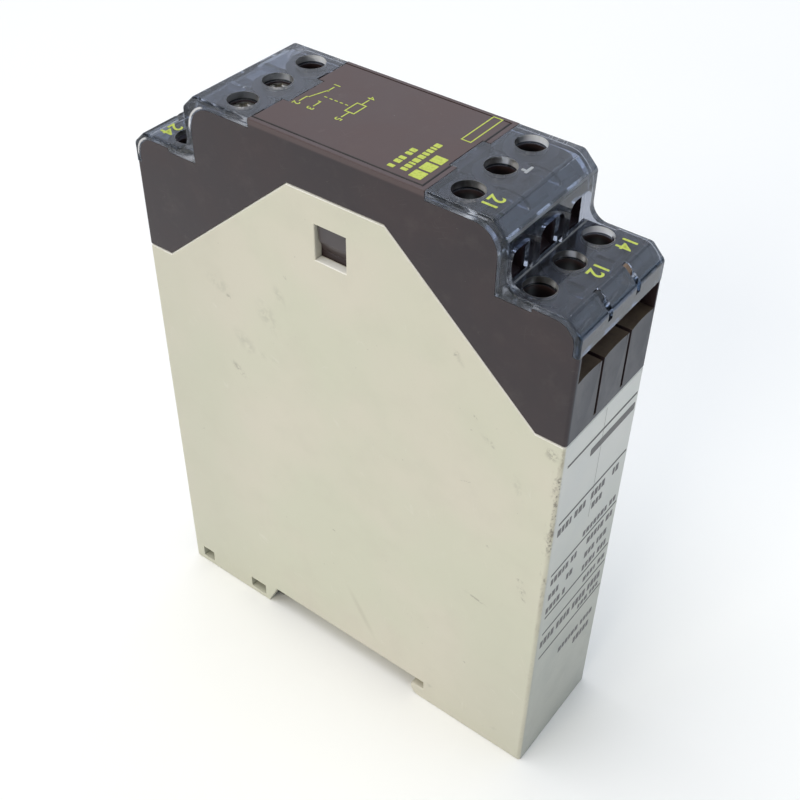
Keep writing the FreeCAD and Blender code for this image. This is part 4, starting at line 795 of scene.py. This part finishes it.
# threads of the six terminal screws, M3
def thread(name, x, y, z0, z1, body):
    bm = bmesh.new()
    pitch, seg = 0.5, 24
    count = int((z1 - z0) / pitch * seg)
    rows = []
    for i in range(count + 1):
        a = 2 * math.pi * i / seg
        z = z0 + pitch * i / seg
        grow = min(1.0, i / (seg * 0.6), (count - i) / (seg * 0.6))
        row = []
        for r, dz in ((1.24, -0.19), (1.30 + 0.17 * grow, -0.04), (1.30 + 0.17 * grow, 0.04), (1.24, 0.19)):
            row.append(bm.verts.new(((x + r * math.cos(a)) * MM, (y + r * math.sin(a)) * MM, (z + dz) * MM)))
        rows.append(row)
    for p, q in zip(rows, rows[1:]):
        for k in range(4):
            bm.faces.new((p[k], p[(k + 1) % 4], q[(k + 1) % 4], q[k]))
    bm.faces.new(rows[0])
    bm.faces.new(rows[-1])
    return finish_mesh(bm, name, body, STEEL, True)


def crown(name, x, y, z, body):
    """Domed top of a screw head on both sides of its slot, open over the cross recess."""
    bm = bmesh.new()
    radius, rise, steps, rings = 1.76, 0.46, 44, 6
    slot, cross, reach = 0.31, 0.36, 1.2
    first = math.asin(slot / radius)
    for side in (1, -1):
        top, low = [], []
        for i in range(steps + 1):
            a = first + (math.pi - 2 * first) * i / steps
            c, s = math.cos(a), math.sin(a)
            inner = slot / s
            if abs(inner * c) < cross:
                inner = reach / s if abs(c) * reach < cross * s else cross / abs(c)
            up, down = [], []
            for k in range(rings + 1):
                r = inner + (radius - inner) * k / rings
                h = 0.02 + rise * (1 - (r / radius) ** 2)
                at = (x + r * c, y + side * r * s)
                up.append(bm.verts.new((at[0] * MM, at[1] * MM, (z + h) * MM)))
                down.append(bm.verts.new((at[0] * MM, at[1] * MM, (z - 0.02) * MM)))
            top.append(up)
            low.append(down)
        for i in range(steps):
            for k in range(rings):
                bm.faces.new((top[i][k], top[i][k + 1], top[i + 1][k + 1], top[i + 1][k]))
                bm.faces.new((low[i][k], low[i + 1][k], low[i + 1][k + 1], low[i][k + 1]))
            for k in (0, rings):
                bm.faces.new((top[i][k], top[i + 1][k], low[i + 1][k], low[i][k]))
        for i in (0, steps):
            for k in range(rings):
                bm.faces.new((top[i][k], low[i][k], low[i][k + 1], top[i][k + 1]))
    bmesh.ops.remove_doubles(bm, verts=bm.verts, dist=1e-8)
    return finish_mesh(bm, name, body, STEEL)


TERMINALS = ((1, 0, -7.5), (1, 1, 0.0), (1, 1, 7.5), (-1, 0, -7.5), (-1, 0, 0.0), (-1, 1, -7.5))
for n, (sx, tier, y) in enumerate(TERMINALS, 1):
    top = (105.2 if n in (4, 5) else 103.0) - 10.0 * tier
    thread("screw_thread_%d" % n, sx * (19.5 + 11.8 * tier), y, top - 7.65, top - 1.3, "screw_%d" % n)
    crown("screw_crown_%d" % n, sx * (19.5 + 11.8 * tier), y, top + 2.45, "screw_%d" % n)


# latch spring: same coil as the solid, drawn as a mesh of its own in place of it
def coil(name, start, length, radius, wire, turns, body):
    bm = bmesh.new()
    seg, ring = 28, 8
    free = length - 2 * wire
    count = turns * seg
    rows = []
    for i in range(count + 1):
        a = 2 * math.pi * i / seg
        f = i / count
        x = start[0] + wire + free * f
        out = Vector((0, math.cos(a), math.sin(a)))
        along = Vector((free / turns / (2 * math.pi * radius), -math.sin(a), math.cos(a))).normalized()
        side = along.cross(out)
        c = Vector((x, start[1], start[2])) + out * radius
        rows.append([bm.verts.new((c + (out * math.cos(b) + side * math.sin(b)) * wire) * MM) for b in (2 * math.pi * k / ring for k in range(ring))])
    for p, q in zip(rows, rows[1:]):
        for k in range(ring):
            bm.faces.new((p[k], p[(k + 1) % ring], q[(k + 1) % ring], q[k]))
    bm.faces.new(rows[0])
    bm.faces.new(rows[-1])
    return finish_mesh(bm, name, body, SPRING, True)


spring = coil("latch_coil", (-34.5, 0.0, 2.85), 12.4, 1.5, 0.25, 8, "base")
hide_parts("latch_spring")
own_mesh(spring)

# ---------------------------------------------------------------------------
# Stage, light and camera
# ---------------------------------------------------------------------------
floor_mesh = bpy.data.meshes.new("floor")
s = 3.0
floor_mesh.from_pydata([(-s, -s, 0), (s, -s, 0), (s, s, 0), (-s, s, 0)], [], [(0, 1, 2, 3)])
floor = bpy.data.objects.new("floor", floor_mesh)
floor.location.z = -0.00005
bpy.context.scene.collection.objects.link(floor)
m = Look("pale_floor")
cloud = m.noise(120 * MM, 2.0)
m.set(Base_Color=m.mix(cloud, (0.945, 0.945, 0.945), (0.970, 0.970, 0.970)), Roughness=0.75)
m.bsdf.inputs["Specular IOR Level"].default_value = 0.2
floor.data.materials.append(m.mat)


def lamp(name, at, target, size, power, colour):
    d = bpy.data.lights.new(name, "AREA")
    d.shape = "RECTANGLE"
    d.size, d.size_y = size
    d.energy = power
    d.color = colour
    o = bpy.data.objects.new(name, d)
    o.location = at
    o.rotation_euler = (Vector(target) - Vector(at)).to_track_quat("-Z", "Y").to_euler()
    o.visible_camera = False
    bpy.context.scene.collection.objects.link(o)
    return o


world = bpy.data.worlds.new("studio")
world.use_nodes = True
bg = world.node_tree.nodes["Background"]
bg.inputs["Color"].default_value = (0.84, 0.92, 1.0, 1.0)
bg.inputs["Strength"].default_value = 0.33
bpy.context.scene.world = world

mid = (0.0, 0.0, 0.055)
lamp("key", (-0.02, -1.15, 0.72), mid, (0.60, 0.60), 5.85, (1.0, 0.912, 0.735))
lamp("back_left", (-0.446, 0.745, 0.65), (0.02, 0.0, 0.105), (0.76, 0.59), 1.16, (0.87, 0.89, 0.98))
lamp("back_mid", (0.112, 0.876, 0.677), (0.02, 0.0, 0.105), (0.76, 0.45), 0.96, (0.79, 0.87, 1.0))
lamp("back_right", (0.674, 0.854, 0.527), (0.03, 0.0, 0.105), (0.45, 0.36), 0.84, (0.80, 0.87, 1.0))
lamp("end_top", (0.26, 0.10, 0.36), (0.04, 0.0, 0.07), (0.14, 0.14), 0.10, (0.80, 0.92, 1.0))
lamp("overhead", (-0.40, -0.22, 1.60), (-0.05, -0.02, 0.0), (1.20, 1.20), 16.8, (1.0, 0.99, 0.98))

view = bpy.context.scene.view_settings
view.view_transform = "Standard"
view.look = "None"
view.exposure = 0.0
view.gamma = 1.0

cam = bpy.data.cameras.new("camera")
cam.sensor_fit = "HORIZONTAL"
cam.sensor_width = 36.0
cam.lens = 52.944
cam.clip_start, cam.clip_end = 0.005, 20.0
right = Vector((0.798421, 0.601955, 0.013179))
down = Vector((0.408761, -0.525841, -0.745926))
ahead = Vector((-0.442084, 0.600950, -0.665899))
eye = bpy.data.objects.new("camera", cam)
turn = Matrix((right, -down, -ahead)).transposed().to_4x4()
turn.translation = Vector((0.089831, -0.117098, 0.188800))
eye.matrix_world = turn
bpy.context.scene.collection.objects.link(eye)
bpy.context.scene.camera = eye
